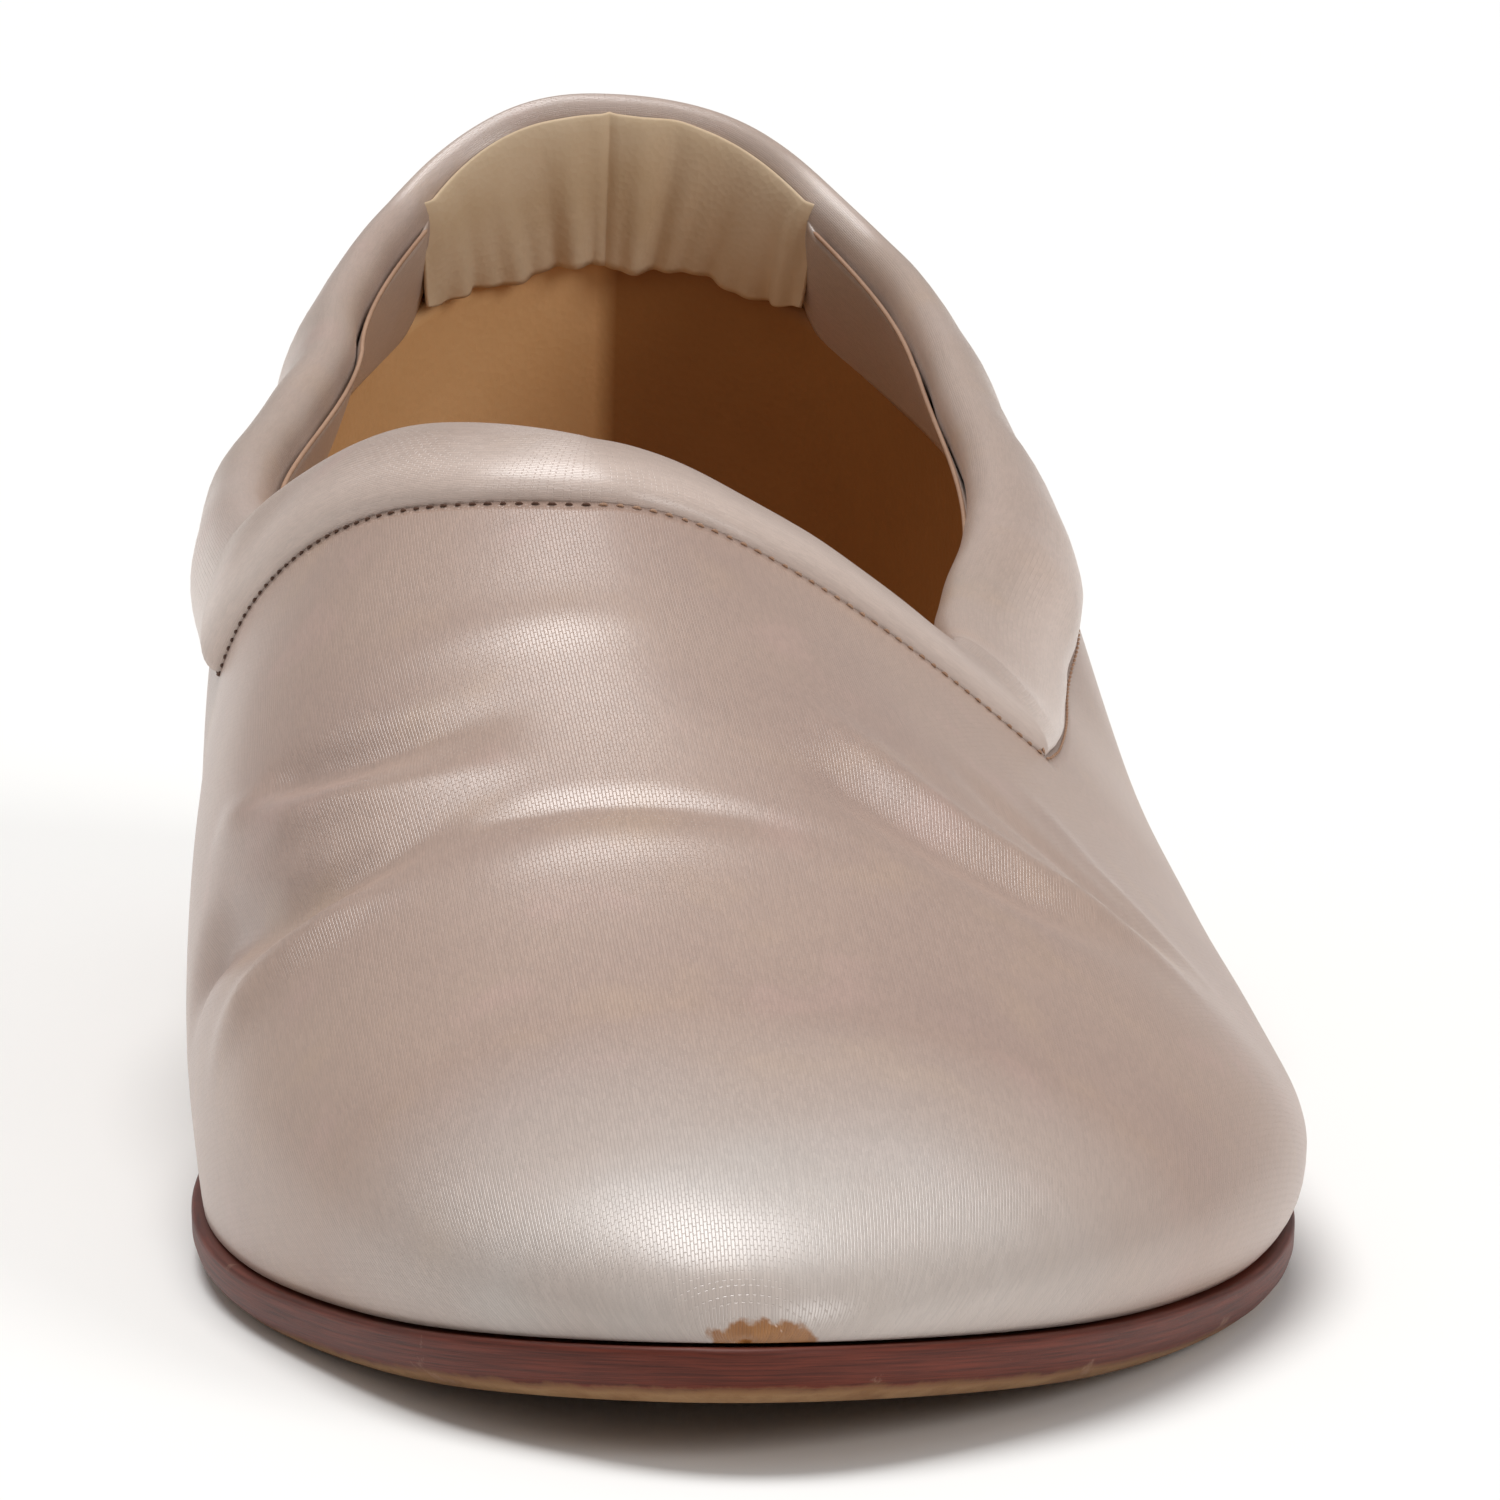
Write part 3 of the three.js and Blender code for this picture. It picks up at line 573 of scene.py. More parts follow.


# Satin: silk or viscose floats lie side by side along the shoe, so it has a soft stretched sheen.
# Real floats are about 0.12 mm apart; they are drawn at 0.26 mm so that they show.
# Stains are (noise from, noise to, most, colour); rub is where the toe starts to go silvery, part rubbed wear
# and part painted sheen, where it is full and how much; low is where the band's lower half, painted lighter
# as a highlight, fades in and out round it.
satin = {
    "floatPitch": 0.26, "floatLength": 0.8, "floatGap": 0.16, "slubs": (330, 40, 1),
    "bump": 0.45, "relief": 0.00006, "roughness": 0.33, "sheen": 0.12, "anisotropic": 0.6, "specular": 1.0,
    "vamp": ("#b19686", "#a78c7f"), "band": ("#b9a296", "#b09a8c"), "facing": ("#bda799", "#b39d8f"),
    "stains": ((0.58, 0.8, 0.5, "#b99c84"), (0.4, 0.22, 0.4, "#bf9c92")),
    # The band's lower half is painted lighter as a highlight
    "paintedLowHighlight": "#cdb8ac", "low": (0.07, 0.105, 0.155, 0.175),
    "silverSheenAndRub": "#c6bdb6", "rubAndSheen": (-0.092, -0.117, 0.95),
}
# The worn tip of the toe, in metres: centre, and the reach of the patch each way; its ragged edge; backing
toeWear = {"centre": (-0.0046, -0.1278, 0.0088), "reach": (0.0042, 0.0024, 0.0019), "ragged": 0.9,
           "edge": (1.5, 1.32), "backing": ("#7c4a22", "#b27a3e")}


def satinMaterial(name, colours, worn=False, paintedHighlightColour=None):
    material, tree = newMaterial(name)
    coordinates = addNode(tree, "TexCoord")
    uv, position = coordinates.outputs["UV"], coordinates.outputs["Object"]
    # Bricks stand for floats: long along the shoe, thin across it
    turned = addNode(tree, "Mapping", {"Vector": uv, "Rotation": (0, 0, math.pi / 2)})
    weave = addNode(tree, "TexBrick", {
        "Vector": turned, "Color1": (0, 0, 0, 1), "Color2": (1, 1, 1, 1), "Mortar": (0.5, 0.5, 0.5, 1),
        "Scale": 1.0, "Mortar Size": satin["floatPitch"] * satin["floatGap"] / 100, "Mortar Smooth": 1.0,
        "Brick Width": satin["floatLength"] / 100, "Row Height": satin["floatPitch"] / 100},
        offset=0.4, offset_frequency=2)
    drawn = addNode(tree, "Mapping", {"Vector": uv, "Scale": satin["slubs"]})
    slubs = addNode(tree, "TexNoise", {"Vector": drawn, "Scale": 1.0, "Detail": 3.0, "Roughness": 0.6})
    patches = addNode(tree, "TexNoise", {"Vector": position, "Scale": 42.0, "Detail": 4.0})
    stains = addNode(tree, "TexNoise", {"Vector": position, "Scale": 95.0, "Detail": 2.0})
    layers = [(patches, 0.3, 0.7, 1, colours[1])] + [(stains, *stain) for stain in satin["stains"]]
    # Painted highlight: the band's lower half is coloured lighter, faded in and out round the band
    if paintedHighlightColour:
        around = addNode(tree, "SeparateXYZ", {"Vector": uv})
        start, full, fade, end = satin["low"]
        low = addNode(tree, "Math", {
            0: addNode(tree, "MapRange", {0: around, 1: start, 2: full}),
            1: addNode(tree, "MapRange", {0: around, 1: fade, 2: end, 3: 1, 4: 0})}, operation="MULTIPLY")
        layers.append((low, 0, 1, 1, paintedHighlightColour))
    if worn:
        # Paler and greyer over the toe, part rubbed wear and part painted sheen, and rubbed through to the
        # brown backing at its tip
        back = addNode(tree, "SeparateXYZ", {"Vector": position}).outputs["Y"]
        start, full, most = satin["rubAndSheen"]
        rubbedAndSheen = addNode(tree, "Math", {
            0: addNode(tree, "MapRange", {0: back, 1: start, 2: full, 4: most}),
            1: addNode(tree, "MapRange", {0: patches, 1: 0.25, 2: 0.7, 3: 0.5})}, operation="MULTIPLY")
        centred = addNode(tree, "Mapping", {
            "Vector": position, "Location": toeWear["centre"], "Scale": toeWear["reach"]},
            vector_type="TEXTURE")
        reach = addNode(tree, "VectorMath", {0: centred}, operation="LENGTH")
        ragged = addNode(tree, "TexNoise", {"Vector": position, "Scale": 900.0, "Detail": 4.0})
        edge = addNode(tree, "Math", {0: ragged, 1: toeWear["ragged"], 2: reach}, operation="MULTIPLY_ADD")
        backing = layered(tree, toeWear["backing"][0], [(ragged, 0, 1, 1, toeWear["backing"][1])])
        layers += [(rubbedAndSheen, 0, 1, 1, satin["silverSheenAndRub"]), (edge, *toeWear["edge"], 1, backing)]
    shade = addNode(tree, "Math", {
        0: addNode(tree, "MapRange", {0: slubs, 1: 0.3, 2: 0.7, 3: 0.965, 4: 1.03}),
        1: addNode(tree, "MapRange", {0: weave, 1: 0, 2: 1, 3: 0.94, 4: 1.045})}, operation="MULTIPLY")
    colour = layered(tree, colours[0], layers)
    colour = addNode(tree, "VectorMath", {0: colour, "Scale": shade}, operation="SCALE")
    height = addNode(tree, "Math", {0: slubs, 1: 0.5, 2: weave.outputs["Fac"]}, operation="MULTIPLY_ADD")
    bump = addNode(tree, "Bump", {
        "Height": height, "Strength": satin["bump"], "Distance": satin["relief"]}, invert=True)
    shader = addNode(tree, "BsdfPrincipled", {
        "Base Color": colour, "Roughness": satin["roughness"], "IOR": 1.5,
        "Specular IOR Level": satin["specular"], "Sheen Weight": satin["sheen"],
        "Sheen Roughness": 0.35, "Sheen Tint": linear("#fff2ea"),
        "Anisotropic": satin["anisotropic"], "Normal": bump,
        "Tangent": addNode(tree, "Tangent", direction_type="UV_MAP")})
    addNode(tree, "OutputMaterial", {"Surface": shader})
    return material


vampSatin = satinMaterial("blush satin", satin["vamp"], worn=True)
bandSatin = satinMaterial("pale blush satin", satin["band"], paintedHighlightColour=satin["paintedLowHighlight"])
facingSatin = satinMaterial("blush facing satin", satin["facing"])


# Leather: a dyed or natural grain, with pores grain millimetres across and slow stains. Stacked leather
# shows its layers as thin dark lines, layer millimetres apart. The outer half of a lining can be painted
# darker as shade, meeting the other half at the middle of the heel.
def leatherMaterial(name, colours, roughness, grain=0.3, layer=0.0, stainSize=14.0, paintedShadeHalf=None):
    material, tree = newMaterial(name)
    position = addNode(tree, "TexCoord").outputs["Object"]
    axes = addNode(tree, "SeparateXYZ", {"Vector": position})
    stains = addNode(tree, "TexNoise", {
        "Vector": position, "Scale": 1000 / stainSize, "Detail": 6.0, "Roughness": 0.6})
    pores = addNode(tree, "TexVoronoi", {"Vector": position, "Scale": 1000 / (grain * 2.2)})
    layers = [(stains, 0.3, 0.7, 1, colours[1]), (pores, 0.1, 0.0, 0.35, colours[2])]
    # Painted shade: the outer half, past the middle of the heel, is coloured darker as if in shadow
    if paintedShadeHalf:
        middle = place[0] / 1000
        paintedShade = layered(tree, paintedShadeHalf[0], [(stains, 0, 1, 1, paintedShadeHalf[1])])
        layers.append((axes.outputs["X"], middle - 0.0006, middle + 0.0012, 1, paintedShade))
    if layer:
        shaky = addNode(tree, "Math", {0: stains, 1: 0.0006, 2: axes.outputs["Z"]}, operation="MULTIPLY_ADD")
        phase = addNode(tree, "Math", {0: shaky, 1: layer / 1000}, operation="PINGPONG")
        layers.append((phase, 0.00016, 0.0, 0.8, colours[2]))
    height = addNode(tree, "Math", {0: stains, 1: 2.0, 2: pores}, operation="MULTIPLY_ADD")
    bump = addNode(tree, "Bump", {"Height": height, "Strength": 0.4, "Distance": 0.00008})
    shader = addNode(tree, "BsdfPrincipled", {
        "Base Color": layered(tree, colours[0], layers), "Roughness": roughness, "IOR": 1.5, "Normal": bump})
    addNode(tree, "OutputMaterial", {"Surface": shader})
    return material


# The sole's edge is stained and waxed over long fibres. Its uv is (run along the edge, drop below the
# top face), so the wear sits on the pared bottom edge, most of it under the toe.
edgeWear = {"from": 2.75, "to": 3.35, "rubs": 0.016, "lessAtWaist": 0.0045, "fibres": (9, 420, 1),
            "tan": ("#a5815c", "#86603f"), "scuff": "#9c7c68"}


def soleMaterial(name, colours):
    material, tree = newMaterial(name)
    coordinates = addNode(tree, "TexCoord")
    uv, position = coordinates.outputs["UV"], coordinates.outputs["Object"]
    drawn = addNode(tree, "Mapping", {"Vector": uv, "Scale": edgeWear["fibres"]})
    fibres = addNode(tree, "TexNoise", {"Vector": drawn, "Scale": 1.0, "Detail": 5.0, "Roughness": 0.65})
    rubs = addNode(tree, "TexNoise", {"Vector": position, "Scale": 210.0, "Detail": 6.0, "Roughness": 0.7})
    # The rubs shift the line of the wear, and the waist has less of it than the toe. As 100 mm is one unit
    # of the uv, the bounds are hundredths, moved by half of what the rubs add.
    drop = addNode(tree, "SeparateXYZ", {"Vector": uv}).outputs["Y"]
    back = addNode(tree, "SeparateXYZ", {"Vector": position}).outputs["Y"]
    depth = addNode(tree, "Math", {
        0: addNode(tree, "Math", {0: rubs, 1: edgeWear["rubs"], 2: drop}, operation="MULTIPLY_ADD"),
        1: addNode(tree, "MapRange", {0: back, 1: -0.03, 2: -0.09, 3: -edgeWear["lessAtWaist"], 4: 0.0})},
        operation="ADD")
    start, full = (edgeWear[end] / 100 + edgeWear["rubs"] / 2 for end in ("from", "to"))
    worn = addNode(tree, "MapRange", {0: depth, 1: start, 2: full})
    pale = layered(tree, edgeWear["tan"][0], [(rubs, 0.35, 0.65, 1, edgeWear["tan"][1])])
    colour = layered(tree, colours[0], [
        (fibres, 0.35, 0.65, 1, colours[1]), (worn, 0, 1, 1, pale),
        (rubs, 0.63, 0.72, 0.55, edgeWear["scuff"])])
    bump = addNode(tree, "Bump", {"Height": fibres, "Strength": 0.5, "Distance": 0.0001})
    shader = addNode(tree, "BsdfPrincipled", {
        "Base Color": colour, "Roughness": addNode(tree, "MapRange", {0: worn, 1: 0, 2: 1, 3: 0.5, 4: 0.7}),
        "IOR": 1.5, "Specular IOR Level": 0.3, "Normal": bump})
    addNode(tree, "OutputMaterial", {"Surface": shader})
    return material


# The lining's inner half is painted pale as if lit, and its outer half darker as painted shade
liningLeatherWithPaintedShade = leatherMaterial("natural lining leather", ("#eec08a", "#e2b27a", "#b58756"), 0.55,
                                paintedShadeHalf=("#a8743f", "#93602f"))
edgeLeather = soleMaterial("stained sole leather", ("#703020", "#451b10"))
heelLeather = leatherMaterial("stained stacked leather", ("#5b2d20", "#472218", "#241009"), 0.45, layer=2.4)
sockLeather = leatherMaterial("sock leather", ("#b98d5e", "#a87c4e", "#8a6038"), 0.5, stainSize=22.0)
cottonTape = leatherMaterial("beige cotton tape", ("#dcc4a6", "#ccb08c", "#a88a66"), 0.85, 0.25)
brownThread = leatherMaterial("brown thread", ("#a07a60", "#b08c72", "#7c5a42"), 0.7, 0.2, stainSize=5.0)
darkThread = leatherMaterial("dark seam thread", ("#4c2f20", "#5e3d2a", "#2c190f"), 0.7, 0.2, stainSize=5.0)

# Satin skin and lining
satinUpper = thicken(meshFrom("satin_upper", upperPatches(upperMesh, 0.0)), upperMesh["satin"])
finishPiece(satinUpper, vampSatin, "upper_satin", "upper")

# The lining lies under the satin, drawn in on both sides of a crease down the middle of the heel
liningMesh = dict(upperMesh, toeRows=70, throatColumns=30, wallColumns=12, tuckColumns=4, quarterColumns=90)
liningFold = {"pull": 1.15, "spread": 4.0, "from": 205.0, "over": 40.0}


# Depth below the outer face: grows with distance from the middle, up to the pull, behind the waist
def liningDepth(back, side, turn):
    near = smoothStep((back - liningFold["from"]) / liningFold["over"])
    away = np.abs(lastPoint(back, side, turn)[..., 0])
    return upperMesh["liningFrom"] + liningFold["pull"] * (1 - np.exp(-away / liningFold["spread"])) * near


leatherLining = thicken(meshFrom("leather_lining", upperPatches(
    liningMesh, upperMesh["liningFrom"], liningDepth)), upperMesh["lining"])
finishPiece(leatherLining, liningLeatherWithPaintedShade, "insole_leather")
print("upper and lining made")

# Band
rings, ringUv = bandRings()
toplineBand = meshFrom("padded_band", [{"grid": rings, "uv": ringUv, "flip": True}])
finishPiece(toplineBand, bandSatin, "band_satin", "topline_band")
print("band made")

# Facings and heel strip
# Joins the stations of both sides into one run of arrays, from where the outer quarter reaches split to
# where the inner one does: over the heel, or else over the throat
def joinedStations(overHeel, split):
    joined = {}
    for key in ("point", "normal", "flat", "up", "face", "lift", "foot"):
        halves = {}
        for side in (1, -1):
            half, seam = stations[side], band["throatSteps"]
            past = np.arange(len(half["back"])) > seam
            pick = past & (half["back"] >= split) if overHeel else ~(past & (half["back"] > split))
            halves[side] = half[key][pick]
        first, second = (halves[1], halves[-1][::-1]) if overHeel else (halves[1][::-1], halves[-1])
        joined[key] = np.concatenate([first, second[1:]])
    joined["travelled"] = travelledAlong(joined["point"])
    return joined


# Places in the band's section: height up its face, and depth inwards from it
def inBand(run, height, depth):
    up = run["up"][:, None] * (run["lift"][:, None] + height)[..., None]
    return run["point"][:, None] + up - run["face"][:, None] * depth[..., None]


# Facing: a sheet from under the rim over the band's inner side to the lining, as a quadratic curve with
# a top and a middle (height, depth) in the band; its ends are rounded off upwards and tucked in
facing = {"end": 237.0, "top": (9.35, 2.95), "middle": (3.2, 3.7), "rows": 14, "round": 7.0, "puff": 0.18,
          "leastDrop": 0.06, "thickness": 0.3, "endTuck": 1.8, "drop": 13,
          "seamRadius": 0.2, "seamCut": 5, "seamUp": 0.15, "seamOut": 0.12}


def facingPatch(run):
    total = run["travelled"][-1]
    toEnd = np.minimum(run["travelled"], total - run["travelled"])
    rounded = np.sqrt(np.clip(1 - (1 - np.clip(toEnd / facing["round"], 0, 1)) ** 2, 0, 1))
    v = np.linspace(0, 1, facing["rows"] + 1)[None, :]
    v = v * (facing["leastDrop"] + (1 - facing["leastDrop"]) * rounded[:, None])
    along = run["travelled"][:, None]
    puff = facing["puff"] * np.sin(along / 4.7 + 0.8 * np.sin(along / 11)) * np.sin(math.pi * v)
    tuck = facing["endTuck"] * (1 - rounded[:, None])
    top = inBand(run, np.full_like(v, facing["top"][0]), np.full_like(v, facing["top"][1]) - tuck)
    middle = inBand(run, np.full_like(v, facing["middle"][0]), facing["middle"][1] + puff - tuck)
    foot = run["foot"][:, None]
    w = v[..., None]
    grid = top * (1 - w) ** 2 + middle * 2 * w * (1 - w) + foot * w * w
    uv = np.stack(np.broadcast_arrays(v * facing["drop"], along), -1)
    return {"grid": grid, "uv": uv}


# A round tube along a line of points, closed at both ends
def tubePatch(line, normal, radius, sides=8):
    count = len(line)
    index = np.arange(count)
    direction = unit(line[np.minimum(index + 1, count - 1)] - line[np.maximum(index - 1, 0)])
    across = unit(np.cross(direction, normal))
    other = np.cross(across, direction)
    taper = np.minimum(index, index[::-1]).clip(0, 1)[:, None, None]
    angle = np.linspace(0, 2 * math.pi, sides + 1)[None, :, None]
    grid = line[:, None] + taper * radius * (across[:, None] * np.cos(angle) + other[:, None] * np.sin(angle))
    grid[:, -1] = grid[:, 0]
    return {"grid": grid, "uv": grid[..., :2]}


throatRun = joinedStations(False, facing["end"])
satinFacing = thicken(meshFrom("satin_facing", [facingPatch(throatRun)]), facing["thickness"], 1.0)
finishPiece(satinFacing, facingSatin, "upper_satin")
seamHigh = np.full((len(throatRun["travelled"]), 1), facing["top"][0] + facing["seamUp"])
seamDeep = np.full_like(seamHigh, facing["top"][1] - facing["seamOut"])
kept = slice(facing["seamCut"], -facing["seamCut"])
facingSeam = meshFrom("facing_seam", [tubePatch(
    inBand(throatRun, seamHigh, seamDeep)[kept, 0], throatRun["face"][kept], facing["seamRadius"])])
finishPiece(facingSeam, brownThread, "sole_leather")

# Heel strip: cotton from under the rim down past the band, a cubic curve through three places (height,
# depth) in the band and a foot below it, drawn into gathers that deepen towards its loose lower edge,
# with a seam (rise, half width) and folds (across, half width, rise) near the middle
heelStrip = {
    "from": 234.0, "endRise": 4.2, "endFade": 3, "rows": 26, "stations": 280, "thickness": 0.3, "tuck": 0.9,
    "places": ((10.5, 1.9), (9.4, 3.3), (2.5, 3.9)), "foot": (3.1, 3.75), "drop": 16, "gather": 0.55,
    "deepen": 1.3, "hemWave": 0.3, "seam": (-0.4, 0.5),
    "folds": ((2.3, 1.3, 0.9), (4.9, 1.1, -0.55), (-3.4, 1.6, 0.45)),
}


def heelStripPatch(run):
    v = np.linspace(0, 1, heelStrip["rows"] + 1)[None, :]
    travelled = run["travelled"]
    x = (travelled[len(travelled) // 2] - travelled)[:, None]
    low = v ** heelStrip["deepen"]
    bulge = heelStrip["gather"] * low * (
        0.6 * np.sin(x / 0.95 + 1.1 * np.sin(x / 3.3)) + 0.4 * np.sin(x / 0.52 + 2.0) * low)
    for at, width, rise in heelStrip["folds"]:
        bulge = bulge + rise * np.exp(-((x - at - 0.8 * v) / width) ** 2) * (0.35 + 0.65 * low)
    bulge = bulge + heelStrip["seam"][0] * np.exp(-(x / heelStrip["seam"][1]) ** 2)
    toEnd = np.minimum(travelled, travelled[-1] - travelled)
    ends = smoothStep(toEnd / heelStrip["endFade"])[:, None]
    bulge = bulge * ends
    tuck = heelStrip["tuck"] * (1 - ends)
    one, two, three = (inBand(run, np.full_like(bulge, height), np.full_like(bulge, depth) - tuck)
                       for height, depth in heelStrip["places"])
    dip = heelStrip["foot"][0] + heelStrip["hemWave"] * np.sin(x / 2.1) * ends
    dip = dip - heelStrip["endRise"] * (x / x.max()) ** 2
    foot = run["point"][:, None] - run["flat"][:, None] * dip[..., None]
    foot = foot - run["normal"][:, None] * heelStrip["foot"][1]
    w = v[..., None]
    grid = one * (1 - w) ** 3 + two * 3 * w * (1 - w) ** 2 + three * 3 * w * w * (1 - w) + foot * w ** 3
    grid = grid - run["normal"][:, None] * bulge[..., None]
    uv = np.stack(np.broadcast_arrays(v * heelStrip["drop"], travelled[:, None]), -1)
    return {"grid": grid, "uv": uv}


# Stations spread evenly and closer than the band's own
def finer(run, count):
    at = np.linspace(0, run["travelled"][-1], count)
    fine = {"travelled": at}
    for key, values in run.items():
        if key != "travelled":
            columns = [np.interp(at, run["travelled"], c) for c in values.reshape(len(values), -1).T]
            fine[key] = np.stack(columns, -1).reshape((count,) + values.shape[1:])
    return fine


heelRun = finer(joinedStations(True, heelStrip["from"]), heelStrip["stations"])
cottonStrip = thicken(meshFrom("cotton_heel_strip", [heelStripPatch(heelRun)]), heelStrip["thickness"], 1.0)
finishPiece(cottonStrip, cottonTape, "insole_leather")
print("facings and heel strip made")

# Stitches. Tacks are (along the seam, height above it) of each one's middle.
stitches = {"pitch": 1.3, "length": 0.72, "uneven": 0.16, "radius": 0.12, "taper": 0.6, "sink": 0.12,
            "below": 0.42, "lift": 0.1, "sides": 6, "rings": 5,
            "tacks": ((-0.6, 0.2), (-0.2, 0.75), (0.25, 1.3), (0.6, 1.8)), "tackLength": 1.5, "tackLift": 0.35}


# Capsules from lines of places [stitch, ring, xyz], the way off the cloth and a share from -1 to 1 along
# them: a round section that tapers at the ends, where it sinks into the cloth
def capsules(line, normal, share):
    direction = unit(line[:, -1] - line[:, 0])[:, None]
    across = unit(np.cross(direction, normal))
    radius = stitches["radius"] * np.sqrt(np.clip(1 - share ** 2, 0, 1)) ** stitches["taper"]
    line = line - normal * (stitches["sink"] * share ** 2)[None, :, None]
    angle = np.linspace(0, 2 * math.pi, stitches["sides"] + 1)[None, None, :, None]
    grid = line[:, :, None] + radius[None, :, None, None] * (
        across[:, :, None] * np.cos(angle) + normal[:, :, None] * np.sin(angle))
    grid[:, :, -1] = grid[:, :, 0]
    return [{"grid": one, "uv": one[..., :2]} for one in grid]


# Running stitches just below the seam
def stitchPatches(side):
    half = stations[side]
    run = half["point"] - half["square"] * stitches["below"] + half["normal"] * stitches["lift"]
    run = run + half["normal"] * creaseHeight(half["point"])[:, None]
    travelled = travelledAlong(run)
    centres = np.arange(stitches["pitch"] / 2, travelled[-1], stitches["pitch"])

    def along(values, at):
        return np.stack([np.interp(at, travelled, values[:, i]) for i in range(3)], -1)
    share = np.linspace(-1, 1, stitches["rings"])
    uneven = 1 + stitches["uneven"] * np.sin(centres * 2.3 + 1.4 * np.sin(centres))[:, None]
    at = centres[:, None] + share * uneven * stitches["length"] / 2
    normal = unit(along(half["normal"], centres))[:, None]
    return capsules(along(run, at), normal, share)


# Tacks that hold the tip of the V: short stitches laid across the seam one above the other
def tackPatches(side):
    half, seam = stations[side], band["throatSteps"]
    point, normal, square, along = (half[key][seam] for key in ("point", "normal", "square", "along"))
    share = np.linspace(-1, 1, stitches["rings"])
    reach = share[:, None] * stitches["tackLength"] / 2
    lines = [point + normal * stitches["tackLift"] + along * across + square * (height + reach)
             for across, height in stitches["tacks"]]
    return capsules(np.stack(lines), np.broadcast_to(normal, (len(lines), 1, 3)), share)


outerStitches = meshFrom("seam_stitches", stitchPatches(1) + tackPatches(1))
finishPiece(outerStitches, brownThread, "band_satin")
innerStitches = meshFrom("inner_seam_stitches", stitchPatches(-1))
finishPiece(innerStitches, darkThread, "band_satin")
print("stitches made")

# Sole
# A plate that follows the sole's top, closed above and below. Its edge goes through levels of (grow,
# share of the undercut, drop below the sole's top).
def plate(name, backs, levels, capColumns=9):
    fade = smoothStep((backs - soleEdge["fadeFrom"]) / (soleEdge["fadeTo"] - soleEdge["fadeFrom"]))
    undercut = soleEdge["undercut"] + (soleEdge["heelUndercut"] - soleEdge["undercut"]) * fade
    rims = {}
    for side in (1, -1):
        rows = []
        for grow, pared, drop in levels:
            flat = edgePoint(backs, side, grow - pared * undercut)
            rows.append(np.concatenate([flat, (soleTop(np.maximum(flat[:, 1], 0)) - drop)[:, None]], 1))
        rims[side] = np.stack(rows)
    run = travelledAlong(rims[1][0])
    drops = np.array([level[2] for level in levels])
    uv = np.stack(np.broadcast_arrays(run[None, :], drops[:, None]), -1)
    patches = [{"grid": rims[1], "uv": uv, "flip": True}, {"grid": rims[-1], "uv": uv, "flip": False}]
    share = np.linspace(0, 1, capColumns)[:, None, None]
    for level, flip in ((0, False), (-1, True)):
        flat = rims[1][level] * (1 - share) + rims[-1][level] * share
        flat[..., 2] = soleTop(np.maximum(flat[..., 1], 0)) - levels[level][2]
        under = np.stack([flat[..., 0], np.full(flat.shape[:2], levels[level][2])], -1)
        patches.append({"grid": flat, "uv": under, "flip": flip})
    share = share.reshape(1, -1, 1)
    for end, flip in ((0, True), (-1, False)):
        wall = rims[1][:, end][:, None] * (1 - share) + rims[-1][:, end][:, None] * share
        wall[..., 2] = rims[1][:, end][:, None, 2]
        patches.append({"grid": wall, "uv": wall[..., ::2], "flip": flip})
    return meshFrom(name, patches)


soleBacks = np.concatenate([heelCentre * np.linspace(0, 1, 121) ** 1.5,
                            heelCentre + last["heelRadius"] * np.linspace(0, 1, 61)[1:]])
ledge, thick = soleEdge["ledge"], last["soleThickness"]
leatherSole = plate("leather_sole", soleBacks, [
    (ledge - 0.5, 0, 0), (ledge - 0.2, 0, 0.08), (ledge, 0, 0.3), (ledge, 0, 0.7),
    (ledge - 0.05, 0, 0.45 * thick),
    (ledge, 0.12, 0.62 * thick), (ledge, 0.3, 0.75 * thick), (ledge, 0.6, 0.88 * thick),
    (ledge, 0.9, 0.97 * thick), (ledge, 1.05, thick)])
finishPiece(leatherSole, edgeLeather, "sole_leather", "outsole")
for node, leather in (("heel", heelLeather), ("insole", sockLeather)):
    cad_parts[node].data.materials.clear()
    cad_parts[node].data.materials.append(leather)
print("sole made")

# Camera, floor and light. The eye stands off from target, and looks at aim to place the shoe in frame.
view = {"target": (0.0, -0.028, 0.025), "aim": (0.0010, -0.028, 0.0354), "distance": 1.2, "elevation": 9.1,
        "yaw": -3.86, "roll": -0.47, "pixelsPerRadian": 9560.0, "frameAcross": 900.0, "sensor": 36}
elevation, yaw = math.radians(view["elevation"]), math.radians(view["yaw"])
backward = Vector((
    math.sin(yaw) * math.cos(elevation), -math.cos(yaw) * math.cos(elevation), math.sin(elevation)))
eye = Vector(view["target"]) + backward * view["distance"]
camera = bpy.data.cameras.new("camera")
camera.lens = view["pixelsPerRadian"] / view["frameAcross"] * view["sensor"]
camera.sensor_width = view["sensor"]
cameraObject = bpy.data.objects.new("camera", camera)
bpy.context.scene.collection.objects.link(cameraObject)
away = (eye - Vector(view["aim"])).normalized()
rightward = Vector((0, 0, 1)).cross(away).normalized()
upward = away.cross(rightward)
turned = Matrix((rightward, upward, away)).transposed().to_4x4()
rolled = Matrix.Rotation(math.radians(-view["roll"]), 4, "Z")
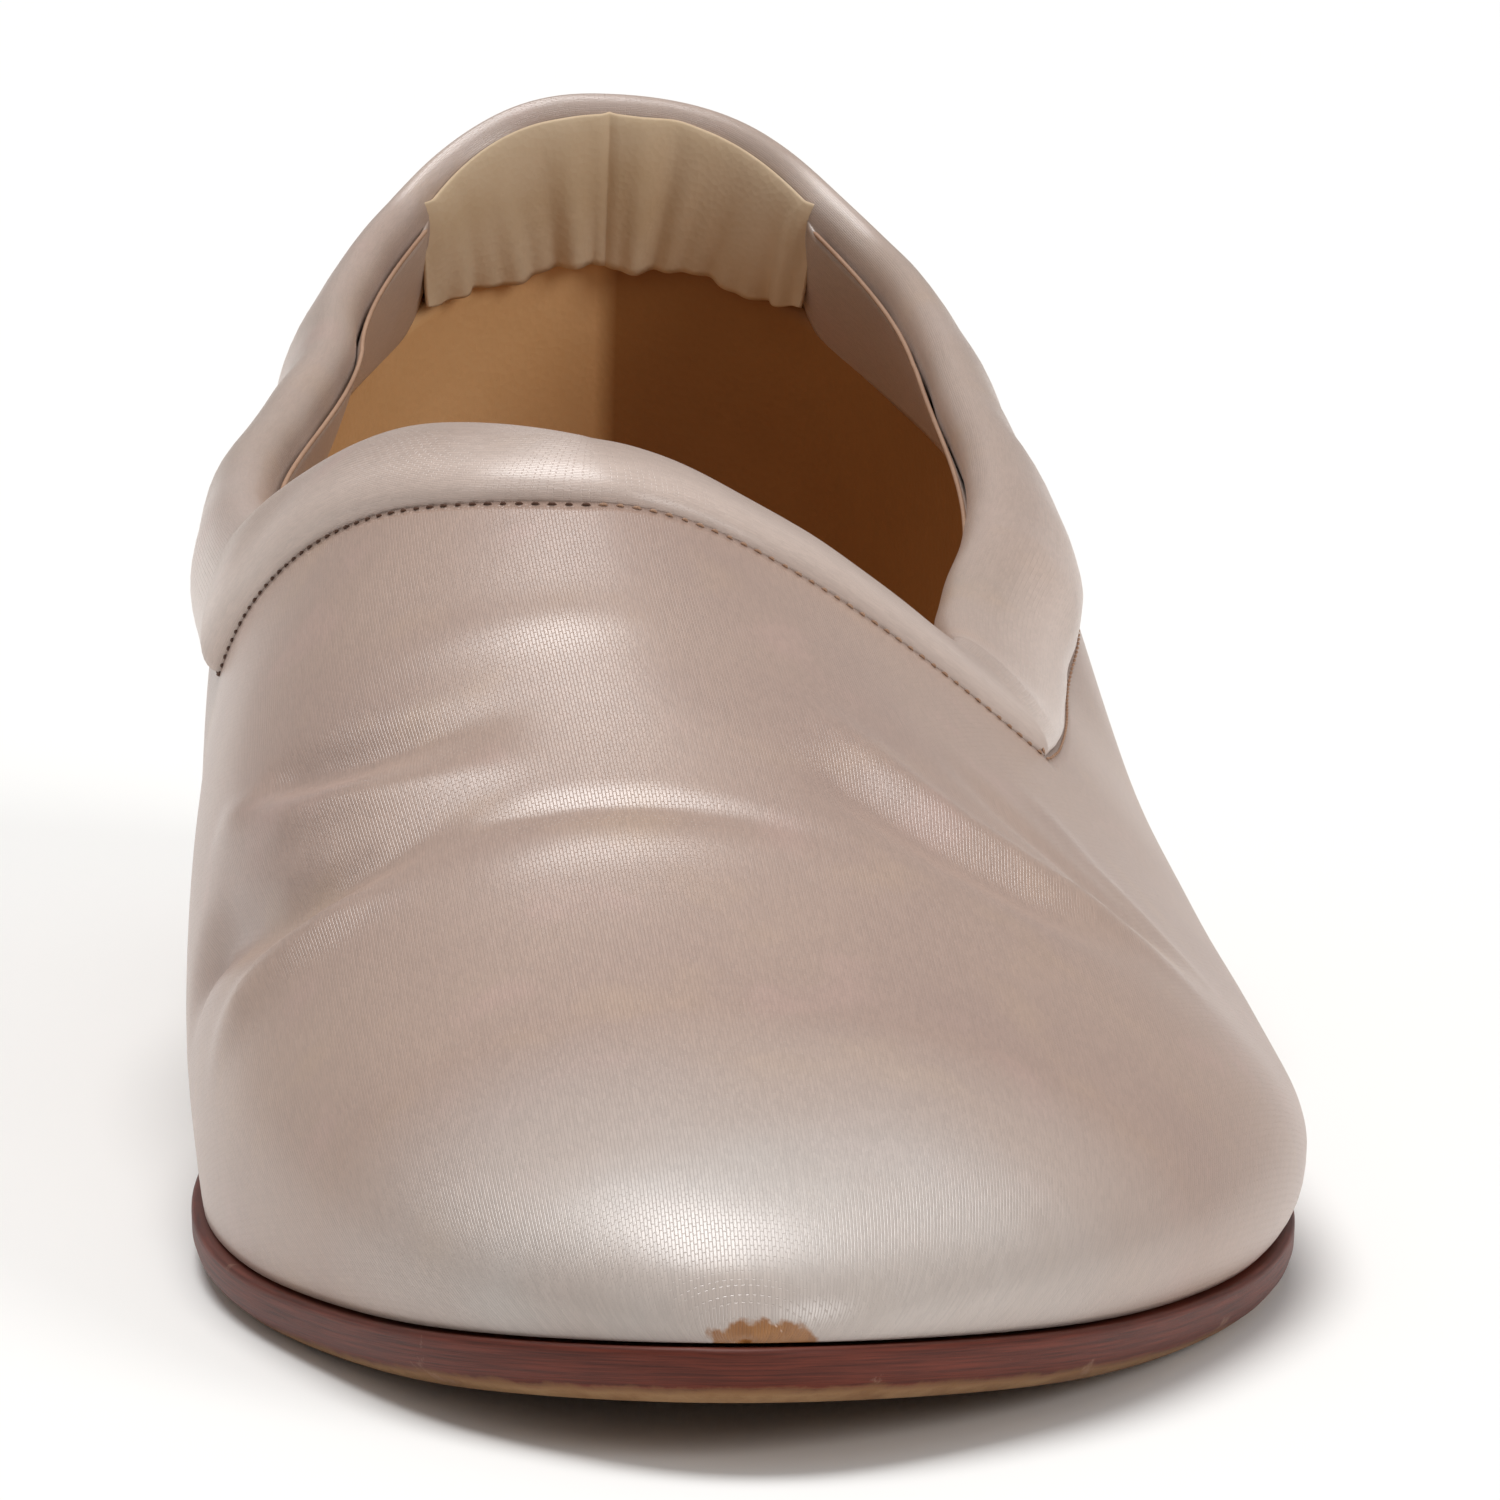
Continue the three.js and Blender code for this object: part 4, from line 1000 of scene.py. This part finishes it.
cameraObject.matrix_world = Matrix.Translation(eye) @ turned @ rolled
bpy.context.scene.camera = cameraObject

# Softboxes are (azimuth, elevation, width, strength)
studio = {"world": 0.34, "backdrop": 1.0, "overhead": (25, 106, 36, 2.3), "front": (46, 27, 26, 0.8)}
floorMesh = bpy.data.meshes.new("floor")
floorMesh.from_pydata([(-6, -6, 0), (6, -6, 0), (6, 6, 0), (-6, 6, 0)], [], [(0, 1, 2, 3)])
floor = bpy.data.objects.new("floor", floorMesh)
bpy.context.scene.collection.objects.link(floor)
floorMaterial, floorTree = newMaterial("matt white board")
floorShader = addNode(floorTree, "BsdfPrincipled", {"Base Color": linear("#f4f3f1"), "Roughness": 0.9})
addNode(floorTree, "OutputMaterial", {"Surface": floorShader})
floorMesh.materials.append(floorMaterial)


# A wide distant softbox: where it stands as azimuth from the front to the right and elevation, how wide
# it looks in degrees, and the light it casts
def softLight(name, azimuth, elevation, width, strength):
    light = bpy.data.lights.new(name, "SUN")
    light.angle, light.energy = math.radians(width), strength
    lamp = bpy.data.objects.new(name, light)
    turn, rise = math.radians(azimuth), math.radians(elevation)
    towards = Vector((math.sin(turn) * math.cos(rise), -math.cos(turn) * math.cos(rise), math.sin(rise)))
    lamp.rotation_euler = towards.to_track_quat("Z", "Y").to_euler()
    bpy.context.scene.collection.objects.link(lamp)


softLight("overhead softbox", *studio["overhead"])
softLight("front softbox", *studio["front"])
world = bpy.context.scene.world or bpy.data.worlds.new("world")
bpy.context.scene.world = world
world.use_nodes = True
world.node_tree.nodes.clear()
# The pale backdrop is seen brighter than it lights
seen = addNode(world.node_tree, "LightPath").outputs["Is Camera Ray"]
glow = addNode(world.node_tree, "MapRange", {0: seen, 1: 0, 2: 1, 3: studio["world"], 4: studio["backdrop"]})
sky = addNode(world.node_tree, "Background", {"Color": (1, 1, 1, 1), "Strength": glow})
addNode(world.node_tree, "OutputWorld", {"Surface": sky})
bpy.context.scene.view_settings.view_transform = "Standard"
bpy.context.scene.view_settings.look = "None"
print("camera and light placed")
